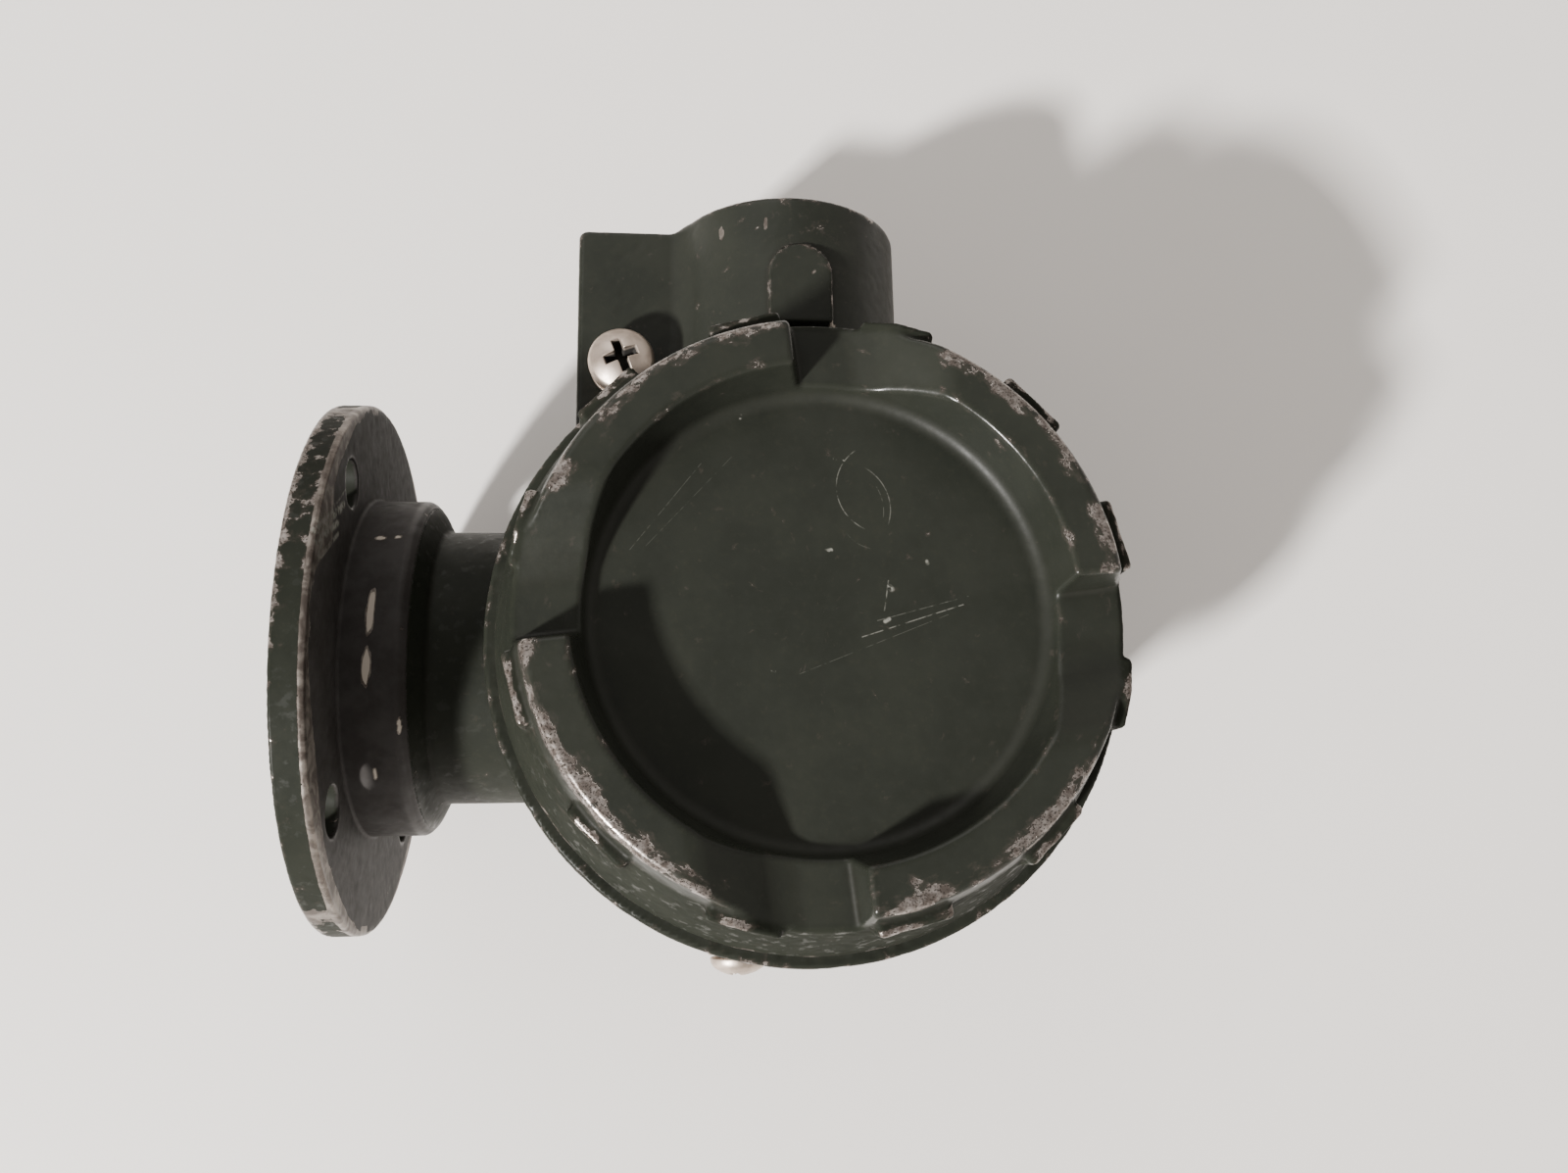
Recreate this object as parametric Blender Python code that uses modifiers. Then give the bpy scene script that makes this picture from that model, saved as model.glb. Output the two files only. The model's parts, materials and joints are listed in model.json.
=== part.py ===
"""Flanged scanner housing with a screw-on front cap.

Frame: the origin is the centre of the flange's mounting face. +X runs along the neck into the
housing, +Y along the conduit boss, and +Z along the axis of the front cap, which opens upwards.
Dimensions are in millimetres; the builders below turn them into Blender's metres.
"""
import math

import bmesh
import bpy
from mathutils import Matrix, Vector

MM = 0.001
GAP = 0.3

# Axis of the bowl and its cap
AXIS_X = 68.2

# Mounting flange
FLANGE_R = 40.0
FLANGE_T = 4.6
COLLAR_R = 25.6
COLLAR_END = 13.6
BOLT_CIRCLE_R = 32.0
BOLT_HOLE_R = 3.4
WINDOW_SEAT_R = 18.2
FLANGE_THREAD_R = 18.8
GRUB_ANGLES = (-55, -125)
GRUB_R = 1.7
GRUB_X = 10.0

# Neck
NECK_R = 20.9
NECK_SHOULDER_R = 24.6
NECK_SHOULDER_L = 1.6
NECK_SPIGOT_R = FLANGE_THREAD_R - 0.4
NECK_MOUTH = 6.8
BEARING_BORE_R = 16.3
BORE_SHOULDER_X = 28.9
BORE_SHOULDER_R = 14.7
STATOR_SEAT_X = 31.5
STATOR_SEAT_R = 19.8

# Bowl
BOWL_R = 40.0
BACK_Z = -31.0
WALL = 4.2
RING_R = 44.0
RING_TOP = 28.2
RING_BOTTOM = 23.0
SPIGOT_R = 34.4
SPIGOT_TOP = 38.2
SPIGOT_BORE_R = 31.5

# Conduit boss, its raised pad and the earth block
BOSS_R = 18.65
BOSS_END = 71.8
CONDUIT_R = 11.7
PAD_X = AXIS_X + 0.9
PAD_W = 9.8
PAD_TOP = 19.1
PAD_START = 50.3
PAD_END = 63.4
BLOCK_LEFT = 34.3
BLOCK_CORNER_R = 1.8
BLOCK_END = 70.4
BLOCK_TOP = 8.3
BLOCK_BOTTOM = -9.0

# Front cap
CAP_TOP = 49.5
RIM_R = 37.0
RIM_INNER_R = 31.0
RECESS_FLOOR = 41.7
PLATE_BOTTOM = 39.0
CAP_EDGE_R = 42.3
CAP_EDGE_Z = 29.0
CAP_THREAD_R = SPIGOT_R + 0.4
SEAL_BORE_R = 38.4
SEAL_BORE_TOP = 31.7
PAD_COUNT = 12
GRIP_PAD_R = 39.4
GRIP_PAD_TOP = 46.6
GRIP_PAD_BOTTOM = 37.0
GRIP_PAD_ANGLE = 14.0
FIRST_PAD_ANGLE = 14.5
NOTCH_COUNT = 4
NOTCH_WALL_ANGLE = 6.7
NOTCH_DEPTH = 5.8
NOTCH_FLOOR = 9.6
NOTCH_RAMP = 9.8
NOTCH_DRAFT = 1.0
SEAL_R = 36.4
SEAL_WIRE_R = 1.2

# Screws seen outside
EARTH_XY = (41.5, 46.4)
LOWER_XZ = (58.6, 18.6)
LOWER_PAD_Y = -41.4
CROSS_ANGLE = 21.0

# Scanning rotor in the neck
BEARING_W = 7.0
FRONT_BEARING_X = 9.4
REAR_BEARING_X = 21.6
OUTER_RACE_R = 16.0
OUTER_RACE_BORE_R = 14.9
INNER_RACE_R = 11.2
INNER_RACE_BORE_R = 10.0
BALL_R = 1.55
BALL_COUNT = 11
SLEEVE_R = 9.7
SLEEVE_BORE_R = 8.2
SLEEVE_FRONT = 7.4
SLEEVE_REAR = 45.6

# Board stack in the bowl
STACK_R = 27.0
STACK_ANGLES = (45, 135, 225, 315)
BOARD_R = 29.5
BOARD_T = 1.6
POWER_BOARD_Z = -18.6
BENCH_Z = -12.6
BENCH_T = 2.6
MAIN_BOARD_Z = 21.8
POST_TOP = POWER_BOARD_Z - GAP
SCREW_HOLE_R = 1.6


def clear_scene():
    """Start from an empty file."""
    for item in list(bpy.data.objects):
        bpy.data.objects.remove(item, do_unlink=True)


def make_collection(name):
    group = bpy.data.collections.new(name)
    bpy.context.scene.collection.children.link(group)
    return group


clear_scene()
PARTS = make_collection("lidar_scanner_module")
CUTTERS = make_collection("cutters")


def make_material(name, colour, roughness, metallic, transmission=0.0):
    """Principled material with one plain finish."""
    item = bpy.data.materials.new(name)
    item.use_nodes = True
    shader = item.node_tree.nodes["Principled BSDF"]
    shader.inputs["Base Color"].default_value = (*colour, 1.0)
    shader.inputs["Roughness"].default_value = roughness
    shader.inputs["Metallic"].default_value = metallic
    shader.inputs["Transmission Weight"].default_value = transmission
    return item


OLIVE = make_material("olive_paint", (0.030, 0.040, 0.026), 0.38, 0.0)
CHROME = make_material("plated_steel", (0.72, 0.70, 0.66), 0.25, 1.0)
STEEL = make_material("bearing_steel", (0.56, 0.57, 0.58), 0.2, 1.0)
BLACK_STEEL = make_material("black_steel", (0.03, 0.03, 0.03), 0.45, 1.0)
RUBBER = make_material("rubber", (0.012, 0.012, 0.012), 0.8, 0.0)
GLASS = make_material("coated_glass", (0.55, 0.62, 0.66), 0.03, 0.0, 1.0)
ANODISED = make_material("black_anodised", (0.02, 0.02, 0.022), 0.5, 0.6)
ALUMINIUM = make_material("machined_aluminium", (0.70, 0.71, 0.72), 0.35, 1.0)
BRASS = make_material("brass", (0.72, 0.52, 0.22), 0.3, 1.0)
COPPER = make_material("enamelled_copper", (0.55, 0.22, 0.09), 0.3, 1.0)
MAGNET = make_material("magnet", (0.18, 0.18, 0.19), 0.4, 0.9)
BOARD = make_material("circuit_board", (0.015, 0.09, 0.035), 0.35, 0.0)
PLASTIC = make_material("black_plastic", (0.02, 0.02, 0.02), 0.5, 0.0)
GREEN_PLASTIC = make_material("terminal_plastic", (0.03, 0.22, 0.08), 0.45, 0.0)
BRONZE = make_material("cage_bronze", (0.50, 0.33, 0.13), 0.35, 1.0)

TURNS = {
    "Z": Matrix.Identity(4),
    "X": Matrix.Rotation(math.radians(90), 4, "Y"),
    "Y": Matrix.Rotation(math.radians(-90), 4, "X"),
    "-Y": Matrix.Rotation(math.radians(90), 4, "X"),
}


def add_object(name, mesh, material, at=(0, 0, 0), axis="Z"):
    """Link a mesh as a part, or as a cutter when it has no material."""
    item = bpy.data.objects.new(name, mesh)
    item.matrix_world = Matrix.Translation(Vector(at) * MM) @ TURNS[axis]
    if material is None:
        CUTTERS.objects.link(item)
        item.hide_render = True
        item.display_type = "WIRE"
    else:
        PARTS.objects.link(item)
        if not mesh.materials:
            mesh.materials.append(material)
    return item


def arc(centre, radius, start, end, count):
    """Points on an arc in a (radius, height) profile, angles in degrees from +radius."""
    points = []
    for index in range(count + 1):
        angle = math.radians(start + (end - start) * index / count)
        points.append((centre[0] + radius * math.cos(angle), centre[1] + radius * math.sin(angle)))
    return points


def lathe(name, profile, material, at=(0, 0, 0), axis="Z", steps=64):
    """Turn a (radius, height) profile about its axis; it runs down the outer side first."""
    mesh = bpy.data.meshes.new(name)
    verts = [(radius * MM, 0.0, height * MM) for radius, height in profile]
    edges = [(index, index + 1) for index in range(len(verts) - 1)]
    if profile[0][0] > 0:
        edges.append((len(verts) - 1, 0))
    mesh.from_pydata(verts, edges, [])
    item = add_object(name, mesh, material, at, axis)
    screw = item.modifiers.new("turn", "SCREW")
    screw.axis = "Z"
    screw.steps = steps
    screw.render_steps = steps
    screw.use_merge_vertices = True
    screw.merge_threshold = 0.00001
    screw.use_smooth_shade = True
    return item


def disc(name, radius, low, high, material, at=(0, 0, 0), axis="Z", steps=32):
    """Solid cylinder between two heights on its axis."""
    profile = [(0, high), (radius, high), (radius, low), (0, low)]
    return lathe(name, profile, material, at, axis, steps)


def ring(name, outer, inner, low, high, material, at=(0, 0, 0), axis="Z", steps=36):
    """Plain ring between two heights on its axis."""
    profile = [(outer, high), (outer, low), (inner, low), (inner, high)]
    return lathe(name, profile, material, at, axis, steps)


def box(name, low, high, material, bevel=0.0):
    """Box between two corners, with its edges bevelled when a width is given."""
    mesh = bpy.data.meshes.new(name)
    cube = bmesh.new()
    bmesh.ops.create_cube(cube, size=1.0)
    size = [(b - a) * MM for a, b in zip(low, high)]
    bmesh.ops.scale(cube, vec=size, verts=cube.verts)
    cube.to_mesh(mesh)
    cube.free()
    centre = [(a + b) / 2 for a, b in zip(low, high)]
    item = add_object(name, mesh, material, centre)
    if bevel:
        edge = item.modifiers.new("edges", "BEVEL")
        edge.width = bevel * MM
        edge.segments = 2
    return item


def plate(name, outline, thickness, material, matrix):
    """Flat outline with a thickness, made as a filled 2D curve and kept as a mesh."""
    curve = bpy.data.curves.new(name, "CURVE")
    curve.dimensions = "2D"
    curve.fill_mode = "BOTH"
    curve.extrude = thickness * MM / 2
    spline = curve.splines.new("POLY")
    spline.points.add(len(outline) - 1)
    for point, (x, y) in zip(spline.points, outline):
        point.co = (x * MM, y * MM, 0.0, 1.0)
    spline.use_cyclic_u = True
    guide = bpy.data.objects.new(name + "_outline", curve)
    CUTTERS.objects.link(guide)
    bpy.context.view_layer.update()
    graph = bpy.context.evaluated_depsgraph_get()
    mesh = bpy.data.meshes.new_from_object(guide.evaluated_get(graph))
    bpy.data.objects.remove(guide, do_unlink=True)
    work = bmesh.new()
    work.from_mesh(mesh)
    bmesh.ops.remove_doubles(work, verts=work.verts, dist=0.00001)
    bmesh.ops.recalc_face_normals(work, faces=work.faces)
    work.to_mesh(mesh)
    work.free()
    mesh.name = name
    item = add_object(name, mesh, material)
    item.matrix_world = matrix
    return item


def merged(name, shapes):
    """One cutter that holds the meshes of several; the shapes themselves are removed."""
    work = bmesh.new()
    graph = bpy.context.evaluated_depsgraph_get()
    bpy.context.view_layer.update()
    for shape in shapes:
        mesh = bpy.data.meshes.new_from_object(shape.evaluated_get(graph))
        mesh.transform(shape.matrix_world)
        work.from_mesh(mesh)
        bpy.data.meshes.remove(mesh)
        bpy.data.objects.remove(shape, do_unlink=True)
    mesh = bpy.data.meshes.new(name)
    work.to_mesh(mesh)
    work.free()
    return add_object(name, mesh, None)


def boolean(target, tool, operation):
    item = target.modifiers.new(operation.lower() + "_" + tool.name, "BOOLEAN")
    item.operation = operation
    item.object = tool
    item.solver = "EXACT"


def cut(target, *tools):
    for tool in tools:
        boolean(target, tool, "DIFFERENCE")


def join(target, *tools):
    for tool in tools:
        boolean(target, tool, "UNION")


def polar(radius, degrees, centre=(AXIS_X, 0.0)):
    angle = math.radians(degrees)
    return centre[0] + radius * math.cos(angle), centre[1] + radius * math.sin(angle)


STACK_POINTS = [polar(STACK_R, angle) for angle in STACK_ANGLES]


def bowl_solid():
    """Outside of the bowl, its ring and its threaded spigot, with no cavity yet."""
    corner = 9.0
    profile = [(0, SPIGOT_TOP), (SPIGOT_R - 0.8, SPIGOT_TOP), (SPIGOT_R, SPIGOT_TOP - 0.8)]
    profile += [(SPIGOT_R, RING_TOP), (RING_R - 0.4, RING_TOP), (RING_R, RING_TOP - 0.4)]
    profile += [(RING_R, RING_BOTTOM + 0.6), (RING_R - 0.6, RING_BOTTOM), (BOWL_R, RING_BOTTOM)]
    profile += arc((BOWL_R - corner - 1.0, BACK_Z + corner), corner, 0, -90, 4)
    profile.append((0, BACK_Z))
    return lathe("housing_body", profile, OLIVE, at=(AXIS_X, 0, 0), steps=60)


def bowl_cavity():
    """Inside of the bowl: a threaded mouth that widens below it."""
    inner = BOWL_R - WALL
    floor = BACK_Z + WALL
    profile = [(0, SPIGOT_TOP + 2), (SPIGOT_BORE_R, SPIGOT_TOP + 2), (SPIGOT_BORE_R, 20.0), (inner, 16.0)]
    profile += arc((inner - 6.0, floor + 5.0), 5.0, 0, -90, 3)
    profile.append((0, floor))
    return lathe("bowl_cavity", profile, None, at=(AXIS_X, 0, 0), steps=48)


def neck_solid():
    """Neck with the spigot that the flange screws onto and a coned shoulder behind it."""
    shoulder = COLLAR_END + GAP
    profile = [(0, 42.0), (NECK_R, 42.0), (NECK_R, shoulder + NECK_SHOULDER_L), (NECK_SHOULDER_R, shoulder)]
    profile += [(NECK_SPIGOT_R, shoulder), (NECK_SPIGOT_R, NECK_MOUTH), (0, NECK_MOUTH)]
    return lathe("neck_solid", profile, None, axis="X", steps=48)


def neck_bore():
    """Stepped bore for the bearings and the stator."""
    profile = [(0, 44.0), (STATOR_SEAT_R, 44.0), (STATOR_SEAT_R, STATOR_SEAT_X)]
    profile += [(BORE_SHOULDER_R, STATOR_SEAT_X), (BORE_SHOULDER_R, BORE_SHOULDER_X)]
    profile += [(BEARING_BORE_R, BORE_SHOULDER_X), (BEARING_BORE_R, NECK_MOUTH - 1), (0, NECK_MOUTH - 1)]
    return lathe("neck_bore", profile, None, axis="X", steps=36)


def boss_solid():
    profile = [(0, BOSS_END), (BOSS_R - 0.8, BOSS_END), (BOSS_R, BOSS_END - 0.8), (BOSS_R, 26.0), (0, 26.0)]
    return lathe("boss_solid", profile, None, at=(AXIS_X, 0, 0), axis="Y", steps=48)


def raised_pad():
    """Flat pad with an arched end along the crest of the boss."""
    half = PAD_W / 2
    outline = [(half, PAD_START), (half, PAD_END - half)]
    outline += arc((0, PAD_END - half), half, 0, 180, 10)[1:-1]
    outline += [(-half, PAD_END - half), (-half, PAD_START)]
    thickness = 6.0
    place = Matrix.Translation(Vector((PAD_X, 0, PAD_TOP - thickness / 2)) * MM)
    return plate("raised_pad", outline, thickness, None, place)


def earth_block():
    """Block between the boss and the bowl that carries the earth screw."""
    outline = [(BLOCK_LEFT, 20.0), (AXIS_X, 20.0), (AXIS_X, BLOCK_END)]
    outline += arc((BLOCK_LEFT + BLOCK_CORNER_R, BLOCK_END - BLOCK_CORNER_R), BLOCK_CORNER_R, 90, 180, 3)
    thickness = BLOCK_TOP - BLOCK_BOTTOM
    place = Matrix.Translation(Vector((0, 0, (BLOCK_TOP + BLOCK_BOTTOM) / 2)) * MM)
    return plate("earth_block", outline, thickness, None, place)


def housing_body():
    """Casting: bowl, neck, boss, pads and the posts that carry the boards."""
    body = bowl_solid()
    lower_x, lower_z = LOWER_XZ
    lower_pad = disc("lower_pad", 5.6, 30.0, -LOWER_PAD_Y, None, at=(lower_x, 0, lower_z), axis="-Y")
    join(body, neck_solid(), boss_solid(), raised_pad(), earth_block(), lower_pad)
    cut(body, bowl_cavity(), neck_bore())
    posts = []
    for x, y in STACK_POINTS:
        posts.append(disc("post", 3.6, BACK_Z + 1.5, POST_TOP, None, at=(x, y, 0), steps=16))
    join(body, merged("board_posts", posts))
    holes = [disc("hole", SCREW_HOLE_R, POST_TOP - 6.5, POST_TOP + 1, None, at=(x, y, 0), steps=12)
             for x, y in STACK_POINTS]
    holes.append(disc("hole", 2.5, BLOCK_TOP - 13.0, BLOCK_TOP + 1, None, at=(*EARTH_XY, 0), steps=20))
    holes.append(disc("hole", 2.0, 34.0, -LOWER_PAD_Y + 1, None, at=(lower_x, 0, lower_z), axis="-Y",
                      steps=20))
    holes.append(disc("hole", CONDUIT_R, 24.0, BOSS_END + 1, None, at=(AXIS_X, 0, 0), axis="Y", steps=32))
    cut(body, merged("screw_holes", holes))
    pocket_y = (43.4, PAD_START)
    pocket = box("pad_pocket", (PAD_X - PAD_W / 2, pocket_y[0], PAD_TOP - 4.4),
                 (PAD_X + PAD_W / 2, pocket_y[1], PAD_TOP + 3), None)
    cut(body, pocket)


def grip_pads():
    """Raised pads round the skirt of the cap."""
    pads = []
    half = GRIP_PAD_R * math.sin(math.radians(GRIP_PAD_ANGLE / 2))
    for index in range(PAD_COUNT):
        pad = box("pad", (RIM_R - 1.2, -half, GRIP_PAD_BOTTOM), (GRIP_PAD_R, half, GRIP_PAD_TOP), None)
        turn = Matrix.Rotation(math.radians(FIRST_PAD_ANGLE + 360.0 / PAD_COUNT * index), 4, "Z")
        pad.matrix_world = Matrix.Translation((AXIS_X * MM, 0, 0)) @ turn @ pad.matrix_world
        pads.append(pad)
    return merged("grip_pads", pads)


def rim_notches():
    """Four ratchet notches: a steep wall, a flat floor and a ramp back up to the rim."""
    top = CAP_TOP + 2.0
    floor = CAP_TOP - NOTCH_DEPTH
    slope = NOTCH_DEPTH / NOTCH_RAMP
    over = (top - CAP_TOP) / slope
    outline = [(0.0, top), (0.0, CAP_TOP), (-NOTCH_DRAFT, floor)]
    outline += [(-NOTCH_FLOOR, floor), (-NOTCH_FLOOR - NOTCH_RAMP - over, top)]
    middle = (RIM_INNER_R + RIM_R) / 2
    notches = []
    for index in range(NOTCH_COUNT):
        angle = math.radians(NOTCH_WALL_ANGLE + 360.0 / NOTCH_COUNT * index)
        stand = Matrix(((0, 0, 1, middle * MM), (1, 0, 0, 0), (0, 1, 0, 0), (0, 0, 0, 1)))
        place = Matrix.Translation((AXIS_X * MM, 0, 0)) @ Matrix.Rotation(angle, 4, "Z") @ stand
        notches.append(plate("notch", outline, 14.0, None, place))
    return merged("rim_notches", notches)


def front_cap():
    """Screw-on cap with a recessed face, a notched rim and a skirt that flares downwards."""
    profile = [(0, RECESS_FLOOR)] + arc((RIM_INNER_R - 2.4, RECESS_FLOOR + 1.1), 1.1, -90, 0, 3)
    profile += [(RIM_INNER_R - 0.5, CAP_TOP - 0.4), (RIM_INNER_R, CAP_TOP)]
    profile += [(RIM_R - 0.7, CAP_TOP), (RIM_R, CAP_TOP - 0.7)]
    profile += [(CAP_EDGE_R - 0.3, CAP_EDGE_Z + 2.4), (CAP_EDGE_R, CAP_EDGE_Z + 0.5)]
    profile += [(CAP_EDGE_R - 0.5, CAP_EDGE_Z), (SEAL_BORE_R, CAP_EDGE_Z), (SEAL_BORE_R, SEAL_BORE_TOP)]
    profile += [(CAP_THREAD_R, SEAL_BORE_TOP), (CAP_THREAD_R, PLATE_BOTTOM), (0, PLATE_BOTTOM)]
    cap = lathe("front_cap", profile, OLIVE, at=(AXIS_X, 0, 0), steps=72)
    join(cap, grip_pads())
    cut(cap, rim_notches())


def cap_o_ring():
    profile = arc((SEAL_R, 0), SEAL_WIRE_R, 90, -225, 7)
    lathe("cap_o_ring", profile, RUBBER, at=(AXIS_X, 0, CAP_EDGE_Z + 1.35), steps=40)


def mounting_flange():
    """Disc and collar in one piece, with four bolt holes and two grub screw holes."""
    profile = [(COLLAR_R - 1.2, COLLAR_END), (COLLAR_R - 0.35, COLLAR_END - 0.35), (COLLAR_R, COLLAR_END - 1.2)]
    profile += arc((COLLAR_R + 1.2, FLANGE_T + 1.2), 1.2, 180, 270, 3)
    profile += [(FLANGE_R - 0.5, FLANGE_T), (FLANGE_R, FLANGE_T - 0.5), (FLANGE_R, 0.5), (FLANGE_R - 0.5, 0)]
    profile += [(WINDOW_SEAT_R, 0), (WINDOW_SEAT_R, 5.3), (FLANGE_THREAD_R, 5.3), (FLANGE_THREAD_R, COLLAR_END)]
    flange = lathe("mounting_flange", profile, OLIVE, axis="X", steps=56)
    holes = []
    for index in range(4):
        angle = math.radians(45 + 90 * index)
        at = (0, BOLT_CIRCLE_R * math.cos(angle), BOLT_CIRCLE_R * math.sin(angle))
        holes.append(disc("hole", BOLT_HOLE_R, -1.0, FLANGE_T + 1, None, at=at, axis="X", steps=18))
    for angle in GRUB_ANGLES:
        holes.append(radial_disc("hole", GRUB_R + GAP, FLANGE_THREAD_R - 1, COLLAR_R + 1, GRUB_X, angle, None))
    cut(flange, merged("flange_holes", holes))


def radial_disc(name, radius, low, high, x, degrees, material, steps=16):
    """Cylinder that points out from the neck's axis at an angle in the YZ plane."""
    item = disc(name, radius, low, high, material, steps=steps)
    turn = Matrix.Rotation(math.radians(degrees - 90), 4, "X")
    item.matrix_world = Matrix.Translation((x * MM, 0, 0)) @ turn
    return item


def flange_grub_screws():
    """Two socket grub screws that lock the flange on the neck."""
    for index, angle in enumerate(GRUB_ANGLES):
        name = "flange_grub_screw_%d" % (index + 1)
        screw = radial_disc(name, GRUB_R, FLANGE_THREAD_R + 0.2, COLLAR_R - 0.6, GRUB_X, angle, BLACK_STEEL)
        socket = radial_disc("socket_%d" % index, 0.9, COLLAR_R - 2.6, COLLAR_R + 1, GRUB_X, angle, None, steps=6)
        cut(screw, socket)


def cross_recess(name, width, depth, top, at, axis):
    """Cutter for a cross-head recess."""
    blades = []
    half = width * 0.25
    for angle in (CROSS_ANGLE, CROSS_ANGLE + 90):
        blade = box("blade", (-width, -half, top - depth), (width, half, top + 1), None)
        blade.matrix_world = Matrix.Rotation(math.radians(angle), 4, "Z") @ blade.matrix_world
        blades.append(blade)
    first, second = blades
    join(first, second)
    second.name = name + "_blade"
    tool = first
    tool.name = name
    tool.matrix_world = Matrix.Translation(Vector(at) * MM) @ TURNS[axis] @ tool.matrix_world
    second.matrix_world = Matrix.Translation(Vector(at) * MM) @ TURNS[axis] @ second.matrix_world
    return tool


def pan_screw(name, head_r, head_h, shank_r, shank_l, at, axis):
    """Pan-head screw; its origin is under the head, on the screw's axis."""
    dome = 0.42 * head_h
    profile = [(0, head_h), (head_r * 0.45, head_h - 0.12 * dome), (head_r * 0.78, head_h - 0.5 * dome)]
    profile += [(head_r, head_h - 1.25 * dome), (head_r, 0.25), (head_r - 0.25, 0), (shank_r, 0)]
    profile += [(shank_r, 0.6 - shank_l), (shank_r - 0.5, -shank_l), (0, -shank_l)]
    screw = lathe(name, profile, CHROME, at=at, axis=axis, steps=24)
    cut(screw, cross_recess(name + "_recess", head_r * 0.56, head_h * 0.62, head_h, at, axis))


def earth_screw():
    """Earth screw with a flat washer and a split lock washer."""
    x, y = EARTH_XY
    ring("earth_flat_washer", 5.0, 2.6, 0.0, 1.0, CHROME, at=(x, y, BLOCK_TOP + GAP), steps=32)
    lock = ring("earth_lock_washer", 4.5, 2.6, 0.0, 1.2, CHROME, at=(x, y, BLOCK_TOP + 1.0 + 2 * GAP), steps=32)
    split = box("washer_split", (x, y - 0.4, BLOCK_TOP), (x + 6, y + 0.4, BLOCK_TOP + 4), None)
    cut(lock, split)
    pan_screw("earth_screw", 5.2, 3.4, 2.15, 12.0, (x, y, BLOCK_TOP + 2.2 + 3 * GAP), "Z")


def lower_screw():
    """Small screw with a washer on the pad under the ring."""
    x, z = LOWER_XZ
    ring("lower_screw_washer", 4.2, 2.1, 0.0, 0.8, CHROME, at=(x, LOWER_PAD_Y - GAP, z), axis="-Y", steps=28)
    pan_screw("lower_screw", 3.9, 2.5, 1.65, 7.0, (x, LOWER_PAD_Y - 0.8 - 2 * GAP, z), "-Y")


def window():
    """Window at the flange mouth: gasket, glass and a slotted screwed ring."""
    ring("window_gasket", 17.6, 14.8, 5.6, 6.5, RUBBER, axis="X")
    profile = [(0, 5.3), (17.2, 5.3), (17.6, 4.9), (17.6, 3.0), (17.2, 2.6), (0, 2.6)]
    lathe("window_glass", profile, GLASS, axis="X", steps=36)
    holder = ring("window_retainer", WINDOW_SEAT_R - GAP, 14.5, 0.5, 2.3, ANODISED, axis="X")
    slots = box("spanner_slots", (-0.5, -WINDOW_SEAT_R - 1, -0.9), (1.2, WINDOW_SEAT_R + 1, 0.9), None)
    cut(holder, slots)


def ball_cage(name, centre_x):
    """Cage band and its balls as one body."""
    pitch = (OUTER_RACE_BORE_R + INNER_RACE_R) / 2
    band = ring(name, pitch + 0.35, pitch - 0.35, -1.0, 1.0, BRONZE, at=(centre_x, 0, 0), axis="X", steps=33)
    balls = []
    for index in range(BALL_COUNT):
        angle = 2 * math.pi * index / BALL_COUNT
        mesh = bpy.data.meshes.new("ball")
        work = bmesh.new()
        bmesh.ops.create_icosphere(work, subdivisions=1, radius=BALL_R * MM)
        work.to_mesh(mesh)
        work.free()
        at = (centre_x, pitch * math.cos(angle), pitch * math.sin(angle))
        balls.append(add_object("ball", mesh, None, at))
    join(band, merged(name + "_balls", balls))


def bearings():
    for side, start in (("front", FRONT_BEARING_X), ("rear", REAR_BEARING_X)):
        end = start + BEARING_W
        ring(side + "_outer_race", OUTER_RACE_R, OUTER_RACE_BORE_R, start, end, STEEL, axis="X")
        ring(side + "_inner_race", INNER_RACE_R, INNER_RACE_BORE_R, start, end, STEEL, axis="X", steps=32)
        ball_cage(side + "_ball_cage", (start + end) / 2)
    spacer_start = FRONT_BEARING_X + BEARING_W + GAP
    ring("outer_race_spacer", OUTER_RACE_R, OUTER_RACE_BORE_R, spacer_start, REAR_BEARING_X - GAP, ALUMINIUM,
         axis="X")
    circlip = ring("bearing_circlip", 15.9, 14.5, 7.8, 9.0, BLACK_STEEL, axis="X")
    cut(circlip, box("circlip_gap", (7.0, -2.2, -17.0), (10.0, 2.2, -13.0), None))


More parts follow.
